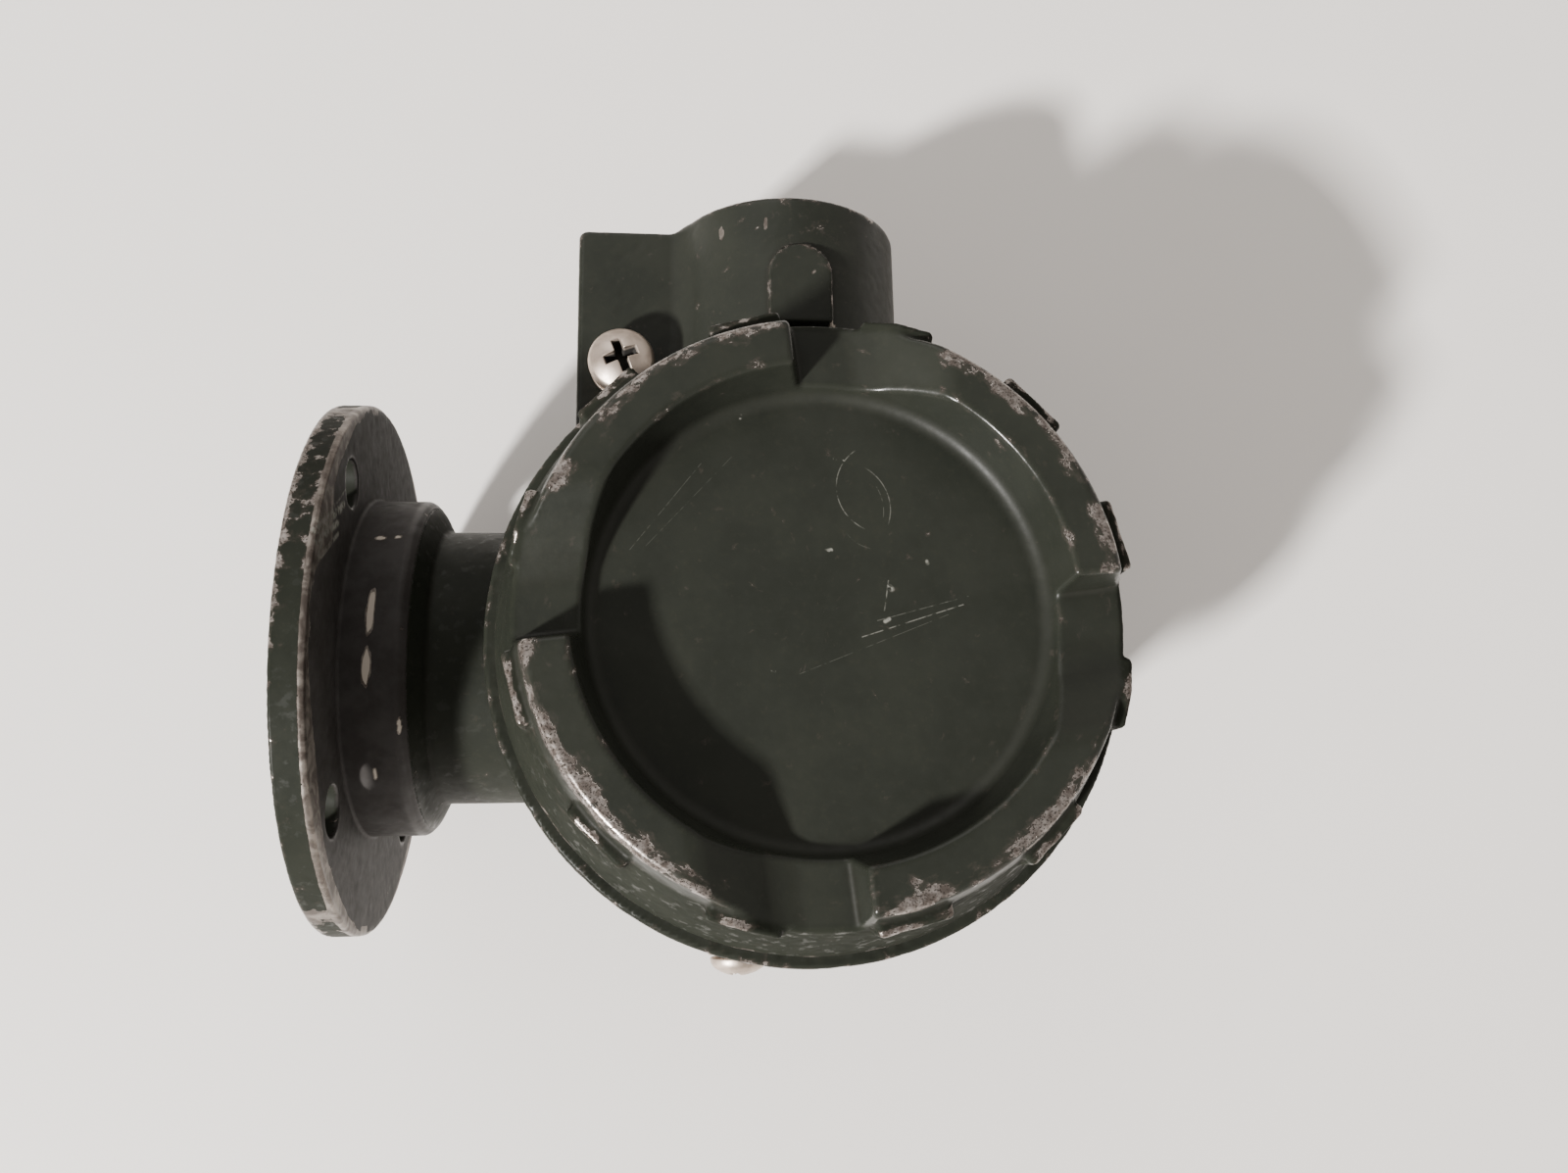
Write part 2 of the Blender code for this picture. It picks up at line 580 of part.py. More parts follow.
def rotor():
    """Hollow rotor that carries the wedge prism, magnet and encoder disc."""
    shoulder = (FRONT_BEARING_X + BEARING_W + GAP, REAR_BEARING_X - GAP)
    profile = [(SLEEVE_R, SLEEVE_REAR), (SLEEVE_R, shoulder[1]), (11.0, shoulder[1]), (11.0, shoulder[0])]
    profile += [(SLEEVE_R, shoulder[0]), (SLEEVE_R, SLEEVE_FRONT), (SLEEVE_BORE_R, SLEEVE_FRONT)]
    profile += [(SLEEVE_BORE_R, 16.8), (7.2, 16.8), (7.2, 18.4), (SLEEVE_BORE_R, 18.4), (SLEEVE_BORE_R, SLEEVE_REAR)]
    lathe("rotor_sleeve", profile, ANODISED, axis="X", steps=28)
    nut = ring("rotor_nut", 12.2, SLEEVE_R + GAP, 7.5, 9.1, ALUMINIUM, axis="X", steps=36)
    cut(nut, box("nut_slot_y", (7.0, -14.0, -1.0), (8.3, 14.0, 1.0), None))
    prism = disc("wedge_prism", SLEEVE_BORE_R - GAP, 10.4, 16.5, GLASS, axis="X", steps=32)
    wedge = box("prism_face", (0.0, -12.0, -12.0), (10.4, 12.0, 12.0), None)
    lean = Matrix.Rotation(math.radians(9.0), 4, "Y")
    pivot = Matrix.Translation(Vector((11.9, 0, 0)) * MM)
    wedge.matrix_world = pivot @ lean @ Matrix.Translation(Vector((-5.2, 0, 0)) * MM)
    cut(prism, wedge)
    ring("prism_retainer", SLEEVE_BORE_R - GAP, 6.6, 7.7, 9.9, ALUMINIUM, axis="X", steps=36)
    ring("rotor_magnet", 13.4, SLEEVE_R + GAP, 32.4, 40.4, MAGNET, axis="X", steps=32)
    ring("encoder_disc", 15.8, SLEEVE_R + GAP, 43.6, 44.4, STEEL, axis="X", steps=48)


def stator():
    """Slotted stator core and the winding at its rear."""
    core = ring("stator_core", STATOR_SEAT_R - GAP, 14.0, 31.9, 39.0, STEEL, axis="X")
    slots = []
    for index in range(9):
        slot = box("slot", (31.0, 13.0, -1.1), (40.0, 18.2, 1.1), None)
        slot.matrix_world = Matrix.Rotation(math.radians(40 * index), 4, "X") @ slot.matrix_world
        slots.append(slot)
    cut(core, merged("stator_slots", slots))
    profile = arc((16.7, 40.9), 1.5, 90, -225, 7)
    lathe("stator_winding", profile, COPPER, axis="X", steps=32)


def optical_bench():
    """D-shaped plate with two uprights that hold the lens barrel."""
    start = 47.6
    half_angle = math.degrees(math.acos((AXIS_X - start) / BOARD_R))
    outline = arc((AXIS_X, 0), BOARD_R, -180 + half_angle, 180 - half_angle, 30)
    middle = (BENCH_Z + BENCH_T / 2) * MM
    bench = plate("optical_bench", outline, BENCH_T, ALUMINIUM, Matrix.Translation((0, 0, middle)))
    for index, x in enumerate((51.0, 63.0)):
        join(bench, box("upright_%d" % index, (x, -11.0, BENCH_Z + 0.8), (x + 4.5, 11.0, 10.5), None))
    bore = disc("barrel_bore", 8.5, 40.0, 80.0, None, axis="X", steps=36)
    holes = [disc("hole", SCREW_HOLE_R, BENCH_Z - 1, BENCH_Z + BENCH_T + 1, None, at=(x, y, 0), steps=16)
             for x, y in STACK_POINTS]
    cut(bench, bore, merged("bench_holes", holes))


def optics():
    """Lens barrel with its objective, and the laser and detector behind it."""
    profile = [(8.2, 69.5), (8.2, 48.4), (6.9, 48.4), (6.9, 53.6), (6.0, 53.6), (6.0, 55.0), (6.9, 55.0)]
    profile += [(6.9, 68.0), (3.2, 68.0), (3.2, 69.5)]
    lathe("lens_barrel", profile, ANODISED, axis="X", steps=28)
    lens = [(0, 53.2)] + arc((0, 44.0), 9.2, 88, 46.5, 4) + [(6.4, 50.3), (0, 49.9)]
    lathe("objective_lens", lens, GLASS, axis="X", steps=24)
    ring("lens_retainer", 6.6, 5.4, 48.5, 49.5, ALUMINIUM, axis="X", steps=36)
    can = [(0, 74.6), (1.9, 74.6), (1.9, 72.4), (2.7, 72.4), (2.7, 70.9), (0, 70.9)]
    lathe("laser_diode", [(r, 145.5 - h) for r, h in reversed(can)], BRASS, axis="X", steps=24)
    box("sensor_board", (75.2, -10.0, -9.6), (76.6, 10.0, 11.0), BOARD, 0.2)
    box("photodiode", (72.4, 3.6, -2.5), (74.9, 8.6, 2.5), PLASTIC, 0.3)
    box("encoder_reader", (44.8, 12.4, -3.5), (45.8, 18.8, 3.5), BOARD, 0.2)


def round_board(name, low, start):
    """Round board with a flat side and four fixing holes."""
    if start is None:
        outline = arc((AXIS_X, 0), BOARD_R, 0, 352.5, 47)
    else:
        half_angle = math.degrees(math.acos((AXIS_X - start) / BOARD_R))
        outline = arc((AXIS_X, 0), BOARD_R, -180 + half_angle, 180 - half_angle, 36)
    middle = (low + BOARD_T / 2) * MM
    board = plate(name, outline, BOARD_T, BOARD, Matrix.Translation((0, 0, middle)))
    holes = [disc("hole", SCREW_HOLE_R, low - 1, low + BOARD_T + 1, None, at=(x, y, 0), steps=16)
             for x, y in STACK_POINTS]
    cut(board, merged(name + "_holes", holes))


def standoff(name, low, high, at):
    """Hexagonal standoff: a long stud down into the post and a tapped hole above."""
    body = disc(name, 3.0, low, high, BRASS, at=at, steps=6)
    stud_end = POST_TOP - 5.2
    pin = disc(name + "_stud", 1.25, stud_end, low + 1, None, at=at, steps=12)
    hole = disc(name + "_tap", SCREW_HOLE_R, high - 5.0, high + 1, None, at=at, steps=12)
    join(body, pin)
    cut(body, hole)


def hex_spacer(name, low, high, at):
    body = disc(name, 3.0, low, high, BRASS, at=at, steps=6)
    cut(body, disc(name + "_bore", SCREW_HOLE_R, low - 1, high + 1, None, at=at, steps=12))


def board_stack():
    round_board("power_board", POWER_BOARD_Z, 44.0)
    round_board("main_board", MAIN_BOARD_Z, None)
    lower = (POWER_BOARD_Z + BOARD_T + GAP, BENCH_Z - GAP)
    upper = (BENCH_Z + BENCH_T + GAP, MAIN_BOARD_Z - GAP)
    for index, (x, y) in enumerate(STACK_POINTS):
        hex_spacer("bench_spacer_%d" % (index + 1), *lower, (x, y, 0))
        standoff("board_standoff_%d" % (index + 1), *upper, (x, y, 0))
        board_screw("board_screw_%d" % (index + 1), (x, y, MAIN_BOARD_Z + BOARD_T + GAP))


def board_screw(name, at):
    profile = [(0, 2.0), (1.6, 1.9), (2.4, 1.4), (2.7, 0.8), (2.7, 0), (1.2, 0), (1.2, -6.0), (0, -6.0)]
    screw = lathe(name, profile, STEEL, at=at, steps=14)
    slot = box(name + "_slot", (at[0] - 4, at[1] - 0.3, at[2] + 1.2), (at[0] + 4, at[1] + 0.3, at[2] + 3), None)
    cut(screw, slot)


def board_components():
    """Terminal block, chip, capacitors, connector and converter."""
    top = MAIN_BOARD_Z + BOARD_T + GAP
    block = box("terminal_block", (58.0, 13.0, top), (80.0, 21.0, top + 9.0), GREEN_PLASTIC, 0.3)
    wells = []
    for index in range(4):
        x = 61.2 + 5.2 * index
        wells.append(disc("well", 1.6, top + 3.5, top + 10, None, at=(x, 15.8, 0), steps=16))
        wells.append(box("entry", (x - 1.6, 18.0, top + 1.2), (x + 1.6, 22.0, top + 4.6), None))
    cut(block, merged("terminal_wells", wells))
    box("processor_chip", (62.0, -9.0, top), (76.0, 5.0, top + 1.8), PLASTIC, 0.2)
    for index, x in enumerate((58.2, 68.0)):
        profile = [(0, 8.5), (3.4, 8.5), (4.0, 7.9), (4.0, 1.6), (3.7, 1.2), (4.0, 0.8), (4.0, 0), (0, 0)]
        lathe("capacitor_%d" % (index + 1), profile, ALUMINIUM, at=(x, -18.0, top), steps=20)
    box("board_connector", (78.0, -16.0, top), (83.5, 2.0, top + 5.0), PLASTIC, 0.3)
    low = POWER_BOARD_Z + BOARD_T + GAP
    box("dc_converter", (80.0, -9.0, low), (92.0, 9.0, BENCH_Z - 2 * GAP), BLACK_STEEL, 0.3)


housing_body()
mounting_flange()
flange_grub_screws()
front_cap()
cap_o_ring()
earth_screw()
lower_screw()
window()
bearings()
rotor()
stator()
optical_bench()
optics()
board_stack()
board_components()
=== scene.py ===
"""Looks of the scanner module: worn olive castings, plated screws and the optics inside.

Lengths are millimetres in the part's frame until a mesh is made, where they become metres.
"""

import json
import math

import bpy
import numpy as np
from mathutils import Matrix, Vector


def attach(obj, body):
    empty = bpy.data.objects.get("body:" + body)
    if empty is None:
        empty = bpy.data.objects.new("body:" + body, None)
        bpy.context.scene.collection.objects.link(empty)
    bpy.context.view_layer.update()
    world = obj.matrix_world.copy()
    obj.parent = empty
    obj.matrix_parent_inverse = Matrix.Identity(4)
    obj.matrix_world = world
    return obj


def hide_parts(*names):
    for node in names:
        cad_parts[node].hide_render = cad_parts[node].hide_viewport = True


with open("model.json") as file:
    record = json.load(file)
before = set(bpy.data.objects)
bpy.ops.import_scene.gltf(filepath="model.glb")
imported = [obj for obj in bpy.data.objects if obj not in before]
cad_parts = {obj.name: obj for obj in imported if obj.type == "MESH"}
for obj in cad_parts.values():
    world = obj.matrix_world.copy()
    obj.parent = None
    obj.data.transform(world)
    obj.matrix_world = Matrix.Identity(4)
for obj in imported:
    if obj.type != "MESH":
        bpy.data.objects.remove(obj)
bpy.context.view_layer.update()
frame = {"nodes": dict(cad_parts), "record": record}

MM = 0.001
AXIS_X = 68.2

# Front cap
CAP_TOP = 49.5
RIM_R = 37.0
RIM_INNER_R = 31.1
RECESS_FLOOR = 41.7
RECESS_R = 29.6
RECESS_LEAN = 0.19
SKIRT_R = 42.3
SKIRT_BOTTOM = 29.0
GRIP_ANGLE = 14.5
GRIP_SPACING = 30.0
GRIP_R = 39.4
GRIP_TOP = 46.6
GRIP_HALF = 4.7
NOTCH_ANGLE = 6.7
NOTCH_FLOOR_Z = 43.7
NOTCH_WALL_LEAN = 0.172
NOTCH_RAMP_SLOPE = 0.592
NOTCH_RAMP_FOOT = 9.6
THREAD_PITCH = 2.0
THREAD_DEPTH = 0.7
CAP_THREAD_R = 34.8
CAP_THREAD_TOP = 39.0
CAP_SEAT_R = 38.4
CAP_SEAT_TOP = 31.7

# Housing
BOWL_R = 40.0
BOWL_TOP = 26.0
BOWL_DRAFT = 1 / 45
BACK_Z = -31.0
BACK_CORNER = 9.0
CAVITY_R = 35.8
CAVITY_FLOOR = -26.8
SPIGOT_BORE_R = 31.5
RING_R = 44.0
RING_Z = (23.0, 28.2)
SPIGOT_R = 34.4
SPIGOT_TOP = 38.2
SPIGOT_THREAD_START = 30.5
NECK_R = 20.9
NECK_END = 45.0
THROAT_R = 18.4
THROAT_X = (6.8, 18.0)
THROAT_PITCH = 1.5
BEARING_BORE = (16.3, 28.9)  # radius, and where it ends
LIGHT_BORE_R = 14.7
CIRCLIP_BORE = (19.8, 31.5)  # radius, and where it starts
BOSS_R = 18.65
BOSS_END = 71.8
CONDUIT_R = 11.7
CONDUIT_MOUTH_R = 12.3
BLOCK_LEFT = 34.3
BLOCK_END = 70.4
BLOCK_BOTTOM = -9.0
BLOCK_TOP = 8.3
ARCH_X = 0.9
ARCH_HALF = 4.9
ARCH_CENTRE_Y = 58.5
ARCH_START_Y = 50.3
ARCH_TOP = 19.15
POCKET_FLOOR = 14.7
EARTH_XY = (41.5, 46.4)
LOWER_XZ = (58.6, 18.6)
LOWER_Y = -41.4
EARTH_HOLE = (2.5, -4.7)  # radius, and its bottom
LOWER_HOLE = (2.0, -34.0)  # radius, and its bottom
CROSS_ANGLE = 21.0
SHOULDER_X = 13.62
SHOULDER_R = 24.6
POST_R = 3.6
POST_Z = (-29.5, -18.9)
POST_HOLE = (1.6, -25.4)  # radius, and its bottom
CORNER_ANGLES = (45, 135, 225, 315)
POSTS = [(AXIS_X + 27.0 * math.cos(math.radians(a)), 27.0 * math.sin(math.radians(a)))
         for a in CORNER_ANGLES]

# Flange
FLANGE_R = 40.0
FLANGE_T = 4.6
COLLAR_R = 25.6
COLLAR_END = 13.6
FLANGE_BORE_R = 18.2
FLANGE_THREAD = (18.8, 5.3)  # radius, and where it starts
BOLT_HOLE_R = 3.4
BOLT_YZ = [(32.0 * math.cos(math.radians(a)), 32.0 * math.sin(math.radians(a)))
           for a in CORNER_ANGLES]
GRUB_ANGLES = (-55, -125)
GRUB_X = 10.0
GRUB_R = 2.0


# ---------------------------------------------------------------- distance fields

def both(a, b, radius):
    """Intersection of two distances, with its outer corner rounded to a radius."""
    corner = np.hypot(np.maximum(a + radius, 0), np.maximum(b + radius, 0))
    return np.minimum(-radius, np.maximum(a, b)) + corner


def either(a, b, radius):
    """Union of two distances, with its inner corner filled to a radius."""
    return -both(-a, -b, radius)


def without(a, b, radius):
    """First distance with the second cut from it, and the cut's edge rounded."""
    return both(a, -b, radius)


def slab(value, low, high):
    """Distance to the slab between two planes."""
    return np.maximum(low - value, value - high)


def rod(u, v, radius):
    """Distance to an endless cylinder."""
    return np.hypot(u, v) - radius


def tube(u, v, along, radius, low, high, corner):
    """Distance to a cylinder with rounded rims."""
    return both(rod(u, v, radius), slab(along, low, high), corner)


def helix(u, v, along, pitch, depth):
    """Thread wave along an axis, between 0 and a depth."""
    turn = along / pitch - np.arctan2(v, u) / (2 * math.pi)
    return depth * (0.5 + 0.5 * np.cos(2 * math.pi * turn))


def turned(x, y, degrees):
    """Coordinates along a direction in the plane and across it."""
    angle = math.radians(degrees)
    return (x * math.cos(angle) + y * math.sin(angle),
            y * math.cos(angle) - x * math.sin(angle))


def lumps(x, y, z):
    """Uneven cast surface under paint, mostly between -1 and 1."""
    a = np.sin(1.7 * x + 1.3 * np.sin(1.3 * y + 0.6 * z))
    b = np.sin(1.9 * y + 1.2 * np.sin(1.5 * z + 0.5 * x) + 1.0)
    c = np.sin(1.6 * z + 1.4 * np.sin(1.4 * x - 0.7 * y) + 2.0)
    broad = np.sin(0.53 * x + 1.7 * np.sin(0.41 * y)) * np.sin(0.47 * y + 0.61 * z)
    return (a * b + b * c + c * a) * (0.35 + 0.35 * broad) + 0.6 * broad


def cap_field(x, y, z):
    """Screw-on cap: flared skirt, grip pads, recessed face and four ratchet notches."""
    x = x - AXIS_X
    r = np.hypot(x, y)
    flare = (SKIRT_R - RIM_R) / (CAP_TOP - SKIRT_BOTTOM - 0.5)
    cone = (r - RIM_R - (CAP_TOP - z) * flare) / math.hypot(1, flare)
    cone = np.maximum(cone, r - SKIRT_R)
    d = both(cone, z - CAP_TOP, 0.9)
    d = either(d, grip_pads(x, y, z, r), 0.5)
    d = d + lumps(x, y, z) * 0.05 * cast_skin(r, z)
    d = both(d, SKIRT_BOTTOM - z, 0.4)
    wall = (r - RECESS_R - (z - RECESS_FLOOR) * RECESS_LEAN) / math.hypot(1, RECESS_LEAN)
    recess = both(wall, RECESS_FLOOR - z, 1.7)
    d = without(d, recess, 0.7)
    for quarter in range(4):
        d = without(d, notch(x, y, z, NOTCH_ANGLE + 90 * quarter), 0.7)
    groove = helix(x, y, z, THREAD_PITCH, THREAD_DEPTH)
    bore = np.maximum(r - CAP_THREAD_R - groove * 0.8, z - CAP_THREAD_TOP)
    bore = np.minimum(bore, np.maximum(r - CAP_SEAT_R, z - CAP_SEAT_TOP))
    return without(d, bore, 0.3)


def grip_pads(x, y, z, r):
    """Twelve raised pads round the cap's skirt."""
    angle = np.degrees(np.arctan2(y, x)) - GRIP_ANGLE
    half = GRIP_SPACING / 2
    folded = np.radians((angle + half) % GRIP_SPACING - half)
    w = r * np.cos(folded)
    u = r * np.sin(folded)
    pad = both(w - GRIP_R, np.abs(u) - GRIP_HALF, 0.7)
    pad = both(pad, z - GRIP_TOP, 0.6)
    return np.maximum(np.maximum(pad, 34.0 - w), 36.0 - z)


def notch(x, y, z, degrees):
    """Ratchet notch in the cap's rim: a steep wall, a flat floor and a long ramp."""
    w, u = turned(x, y, degrees)
    wall = (u + (CAP_TOP - z) * NOTCH_WALL_LEAN) * 0.985
    ramp = (NOTCH_FLOOR_Z - NOTCH_RAMP_SLOPE * (u + NOTCH_RAMP_FOOT) - z) * 0.861
    cut = both(wall, both(NOTCH_FLOOR_Z - z, ramp, 1.2), 0.7)
    return np.maximum(cut, 20.0 - w)


def cast_skin(r, z):
    """Share of the rough cast skin: on the skirt and the ring, not on the turned faces."""
    near = np.clip((r - 36.2) / 1.6, 0, 1) * np.clip((46.0 - r) / 1.0, 0, 1)
    return near * np.clip((49.6 - z) / 2.0, 0.15, 1)


def arch_outline(cx, y):
    """Distance in plan to the arched outline of the boss's raised pad."""
    round_end = np.hypot(cx - ARCH_X, y - ARCH_CENTRE_Y)
    return np.where(y > ARCH_CENTRE_Y, round_end, np.abs(cx - ARCH_X)) - ARCH_HALF


def bowl_and_neck(x, y, z, r):
    """Drafted bowl with the neck that the flange screws on to."""
    bowl = both(r - BOWL_R + (RING_Z[0] - z) * BOWL_DRAFT, BACK_Z - z, BACK_CORNER)
    bowl = np.maximum(bowl, z - BOWL_TOP)
    neck = tube(y, z, x, NECK_R, 13.9, NECK_END, 0.2)
    shoulder = (rod(y, z, SHOULDER_R) + np.maximum(x - SHOULDER_X, 0) * 2.0) * 0.447
    neck = either(neck, shoulder, 0.5)
    neck = np.maximum(neck, SHOULDER_X - 0.7 - x)
    neck = np.maximum(neck, x - NECK_END)
    return either(bowl, neck, 2.2)


def conduit_boss(x, cx, y, z):
    """Conduit boss with the earth block on its side and the arched pad on its top."""
    boss = tube(cx, z, y, BOSS_R, 10.0, BOSS_END, 0.9)
    block = both(BLOCK_LEFT - x, y - BLOCK_END, 1.4)
    block = both(block, slab(z, BLOCK_BOTTOM, BLOCK_TOP), 0.7)
    block = np.maximum(np.maximum(block, x - AXIS_X), 12.0 - y)
    boss = either(boss, block, 2.4)
    arch = both(both(arch_outline(cx, y), ARCH_START_Y - y, 0.3), z - ARCH_TOP, 0.25)
    arch = np.maximum(arch, 10.0 - z)
    return either(boss, arch, 0.15)


def housing_outside(x, cx, y, z, r):
    """Outside of the casting, with its ring, threaded spigot and lower screw's boss."""
    d = either(bowl_and_neck(x, y, z, r), conduit_boss(x, cx, y, z), 2.0)
    pocket = np.maximum(np.abs(cx - ARCH_X) - ARCH_HALF, slab(y, 43.6, ARCH_START_Y))
    d = without(d, both(pocket, POCKET_FLOOR - z, 0.5), 0.3)
    ring = both(r - RING_R, slab(z, *RING_Z), 0.6)
    d = either(d, ring, 0.8)
    d = d + lumps(x, y, z) * (0.02 + 0.04 * cast_skin(r, z) * (z > 21))
    groove = helix(cx, y, z, THREAD_PITCH, THREAD_DEPTH)
    groove = groove * np.clip(z - SPIGOT_THREAD_START, 0, 1)
    spigot = both(r - SPIGOT_R + groove, z - SPIGOT_TOP, 0.6)
    spigot = np.maximum(spigot, BOWL_TOP - z)
    d = either(d, spigot, 0.3)
    lower = tube(x - LOWER_XZ[0], z - LOWER_XZ[1], -y, 5.6, 30.0, -LOWER_Y, 0.5)
    d = either(d, lower, 0.8)
    throat = rod(y, z, THROAT_R) + helix(y, z, x, THROAT_PITCH, 0.45)
    return np.minimum(d, both(throat, slab(x, *THROAT_X), 0.4))


def hollowed(d, x, y, z, r):
    """The casting with its cavity and the bearing's bores cut, and its posts put in."""
    cavity = both(r - CAVITY_R, CAVITY_FLOOR - z, 5.0)
    cavity = np.maximum(cavity, np.minimum(z - 18.0, r - SPIGOT_BORE_R))
    d = without(d, cavity, 0.8)
    bearing_r, bearing_end = BEARING_BORE
    circlip_r, circlip_start = CIRCLIP_BORE
    bore = rod(y, z, bearing_r) + np.maximum(x - bearing_end, 0)
    bore = np.minimum(bore, rod(y, z, LIGHT_BORE_R))
    bore = np.minimum(bore, np.maximum(rod(y, z, circlip_r), circlip_start - x))
    d = without(d, np.maximum(bore, x - 44.0), 0.3)
    hole_r, hole_z = POST_HOLE
    for px, py in POSTS:
        post = tube(x - px, y - py, z, POST_R, *POST_Z, 0.4)
        d = either(d, post, 1.0)
        d = without(d, np.maximum(rod(x - px, y - py, hole_r), hole_z - z), 0.2)
    return d


def housing_field(x, y, z):
    """Casting: bowl, ring, threaded spigot, neck, conduit boss, earth block and inner posts."""
    cx = x - AXIS_X
    r = np.hypot(cx, y)
    d = hollowed(housing_outside(x, cx, y, z, r), x, y, z, r)
    thread = helix(cx, z, y, 1.8, 0.55)
    conduit = np.maximum(rod(cx, z, CONDUIT_R) - thread, 24.0 - y)
    mouth = rod(cx, z, CONDUIT_MOUTH_R) - np.maximum(y - BOSS_END + 1.0, 0)
    conduit = np.minimum(conduit, np.maximum(mouth, BOSS_END - 2.2 - y))
    d = without(d, conduit, 0.3)
    hole_r, hole_z = EARTH_HOLE
    hole = np.maximum(rod(x - EARTH_XY[0], y - EARTH_XY[1], hole_r), hole_z - z)
    d = without(d, hole, 0.3)
    hole_r, hole_y = LOWER_HOLE
    hole = np.maximum(rod(x - LOWER_XZ[0], z - LOWER_XZ[1], hole_r), y - hole_y)
    return without(d, np.maximum(hole, -y - 60.0), 0.3)


def flange_field(x, y, z):
    """Bolted disc with a collar, its bore and the grub screw holes."""
    disc = tube(y, z, x, FLANGE_R, 0.0, FLANGE_T, 0.5)
    side = rod(y, z, COLLAR_R)
    collar = both(side, (side + x - COLLAR_END + 1.0) * 0.707, 0.3)
    collar = both(collar, slab(x, 0.5, COLLAR_END), 0.05)
    d = either(disc, collar, 0.5) + lumps(x, y, z) * 0.025
    for hy, hz in BOLT_YZ:
        d = without(d, rod(y - hy, z - hz, BOLT_HOLE_R), 0.35)
    thread = helix(y, z, x, THROAT_PITCH, 0.3)
    thread_r, thread_start = FLANGE_THREAD
    threaded = np.maximum(rod(y, z, thread_r) - thread * 0.3, thread_start - x)
    d = without(d, np.minimum(rod(y, z, FLANGE_BORE_R), threaded), 0.3)
    for degrees in GRUB_ANGLES:
        angle = math.radians(degrees)
        along = y * math.cos(angle) + z * math.sin(angle)
        across = z * math.cos(angle) - y * math.sin(angle)
        d = without(d, np.maximum(rod(x - GRUB_X, across, GRUB_R), 17.0 - along), 0.3)
    return d


def pan_field(head_r, head_h, shank_r, shank_l, pitch):
    """Cross-head pan screw along +Z with the underside of its head at 0."""
    def field(x, y, z):
        r = np.hypot(x, y)
        ball = (head_r * head_r + (0.62 * head_h) ** 2) / (2 * 0.62 * head_h)
        dome = np.sqrt(r * r + (z - head_h + ball) ** 2) - ball
        head = both(both(r - head_r, -z, 0.2), dome, 0.55)
        core = r - shank_r + helix(x, y, z, pitch, 0.5 * pitch) * 0.9
        shank = np.maximum(both(core, -shank_l - z, 0.4), z - 0.5)
        d = np.minimum(head, shank)
        return without(d, cross_recess(x, y, z, head_r, head_h), 0.12)
    return field


def cross_recess(x, y, z, head_r, head_h):
    """Distance to the cross cut in a screw head, which tapers as it goes down."""
    a, b = turned(x, y, CROSS_ANGLE)
    taper = 1 - np.clip(head_h - z, 0, 3) * 0.13
    reach = 0.56 * head_r * taper
    half = 0.145 * head_r * taper
    wing_a = np.maximum(np.abs(a) - reach, np.abs(b) - half)
    wing_b = np.maximum(np.abs(b) - reach, np.abs(a) - half)
    return both(either(wing_a, wing_b, 0.3), 0.12 * head_h - z, 0.3)


def recess_dirt(head_r, head_h):
    """Dirt that fills the cross recess of a screw."""
    def dirt(x, y, z):
        inside = cross_recess(x, y, z, head_r, head_h) < 0.14
        return inside * np.clip((0.9 * head_h - z) / (0.25 * head_h), 0, 1)
    return dirt


def washer_field(outer, inner, low, high, split):
    """Flat washer along Z, cut through for a lock washer."""
    def field(x, y, z):
        r = np.hypot(x, y)
        d = both(slab(r, inner, outer), slab(z, low, high), 0.15)
        if split:
            gap = np.maximum(np.abs(y - (z - (low + high) / 2) * 0.7) - 0.35, -x)
            d = without(d, gap, 0.1)
        return d
    return field


# ---------------------------------------------------------------- meshes from fields

CORNERS = np.array([(i, j, k) for i in (0, 1) for j in (0, 1) for k in (0, 1)])
EDGES = [(a, b) for a in range(8) for b in range(a + 1, 8)
         if np.abs(CORNERS[a] - CORNERS[b]).sum() == 1]


def sample(field, axes):
    """Field values on a grid, a few layers at a time."""
    values = np.empty([len(a) for a in axes], np.float32)
    y = axes[1][None, :, None]
    z = axes[2][None, None, :]
    for start in range(0, len(axes[0]), 12):
        x = axes[0][start:start + 12, None, None]
        values[start:start + 12] = field(x, y, z)
    return values


def slope(field, p, h):
    """Gradient of a field at points, and the sum of its second differences."""
    gradient = np.empty_like(p)
    bend = -6.0 * field(*p.T)
    for axis in range(3):
        step = np.zeros(3, np.float32)
        step[axis] = h
        ahead = field(*(p + step).T)
        behind = field(*(p - step).T)
        gradient[:, axis] = (ahead - behind) / (2 * h)
        bend += ahead + behind
    return gradient, bend


def net(values, axes):
    """Surface net of a grid: one point in each cell that the surface crosses, joined by quads."""
    inside = values < 0
    count = sum(inside[c[0]:inside.shape[0] - 1 + c[0], c[1]:inside.shape[1] - 1 + c[1],
                       c[2]:inside.shape[2] - 1 + c[2]].astype(np.int8) for c in CORNERS)
    cells = np.argwhere((count > 0) & (count < 8))
    number = np.full(count.shape, -1, np.int32)
    number[tuple(cells.T)] = np.arange(len(cells))
    level = np.stack([values[tuple((cells + c).T)] for c in CORNERS], 1)
    total = np.zeros((len(cells), 3))
    hits = np.zeros(len(cells))
    for a, b in EDGES:
        crossed = (level[:, a] < 0) != (level[:, b] < 0)
        t = level[crossed, a] / (level[crossed, a] - level[crossed, b])
        total[crossed] += CORNERS[a] + t[:, None] * (CORNERS[b] - CORNERS[a])
        hits[crossed] += 1
    step = axes[0][1] - axes[0][0]
    origin = np.array([a[0] for a in axes])
    points = origin + step * (cells + total / hits[:, None])
    quads = np.concatenate([crossed_quads(inside, number, axis) for axis in range(3)])
    return points.astype(np.float32), quads


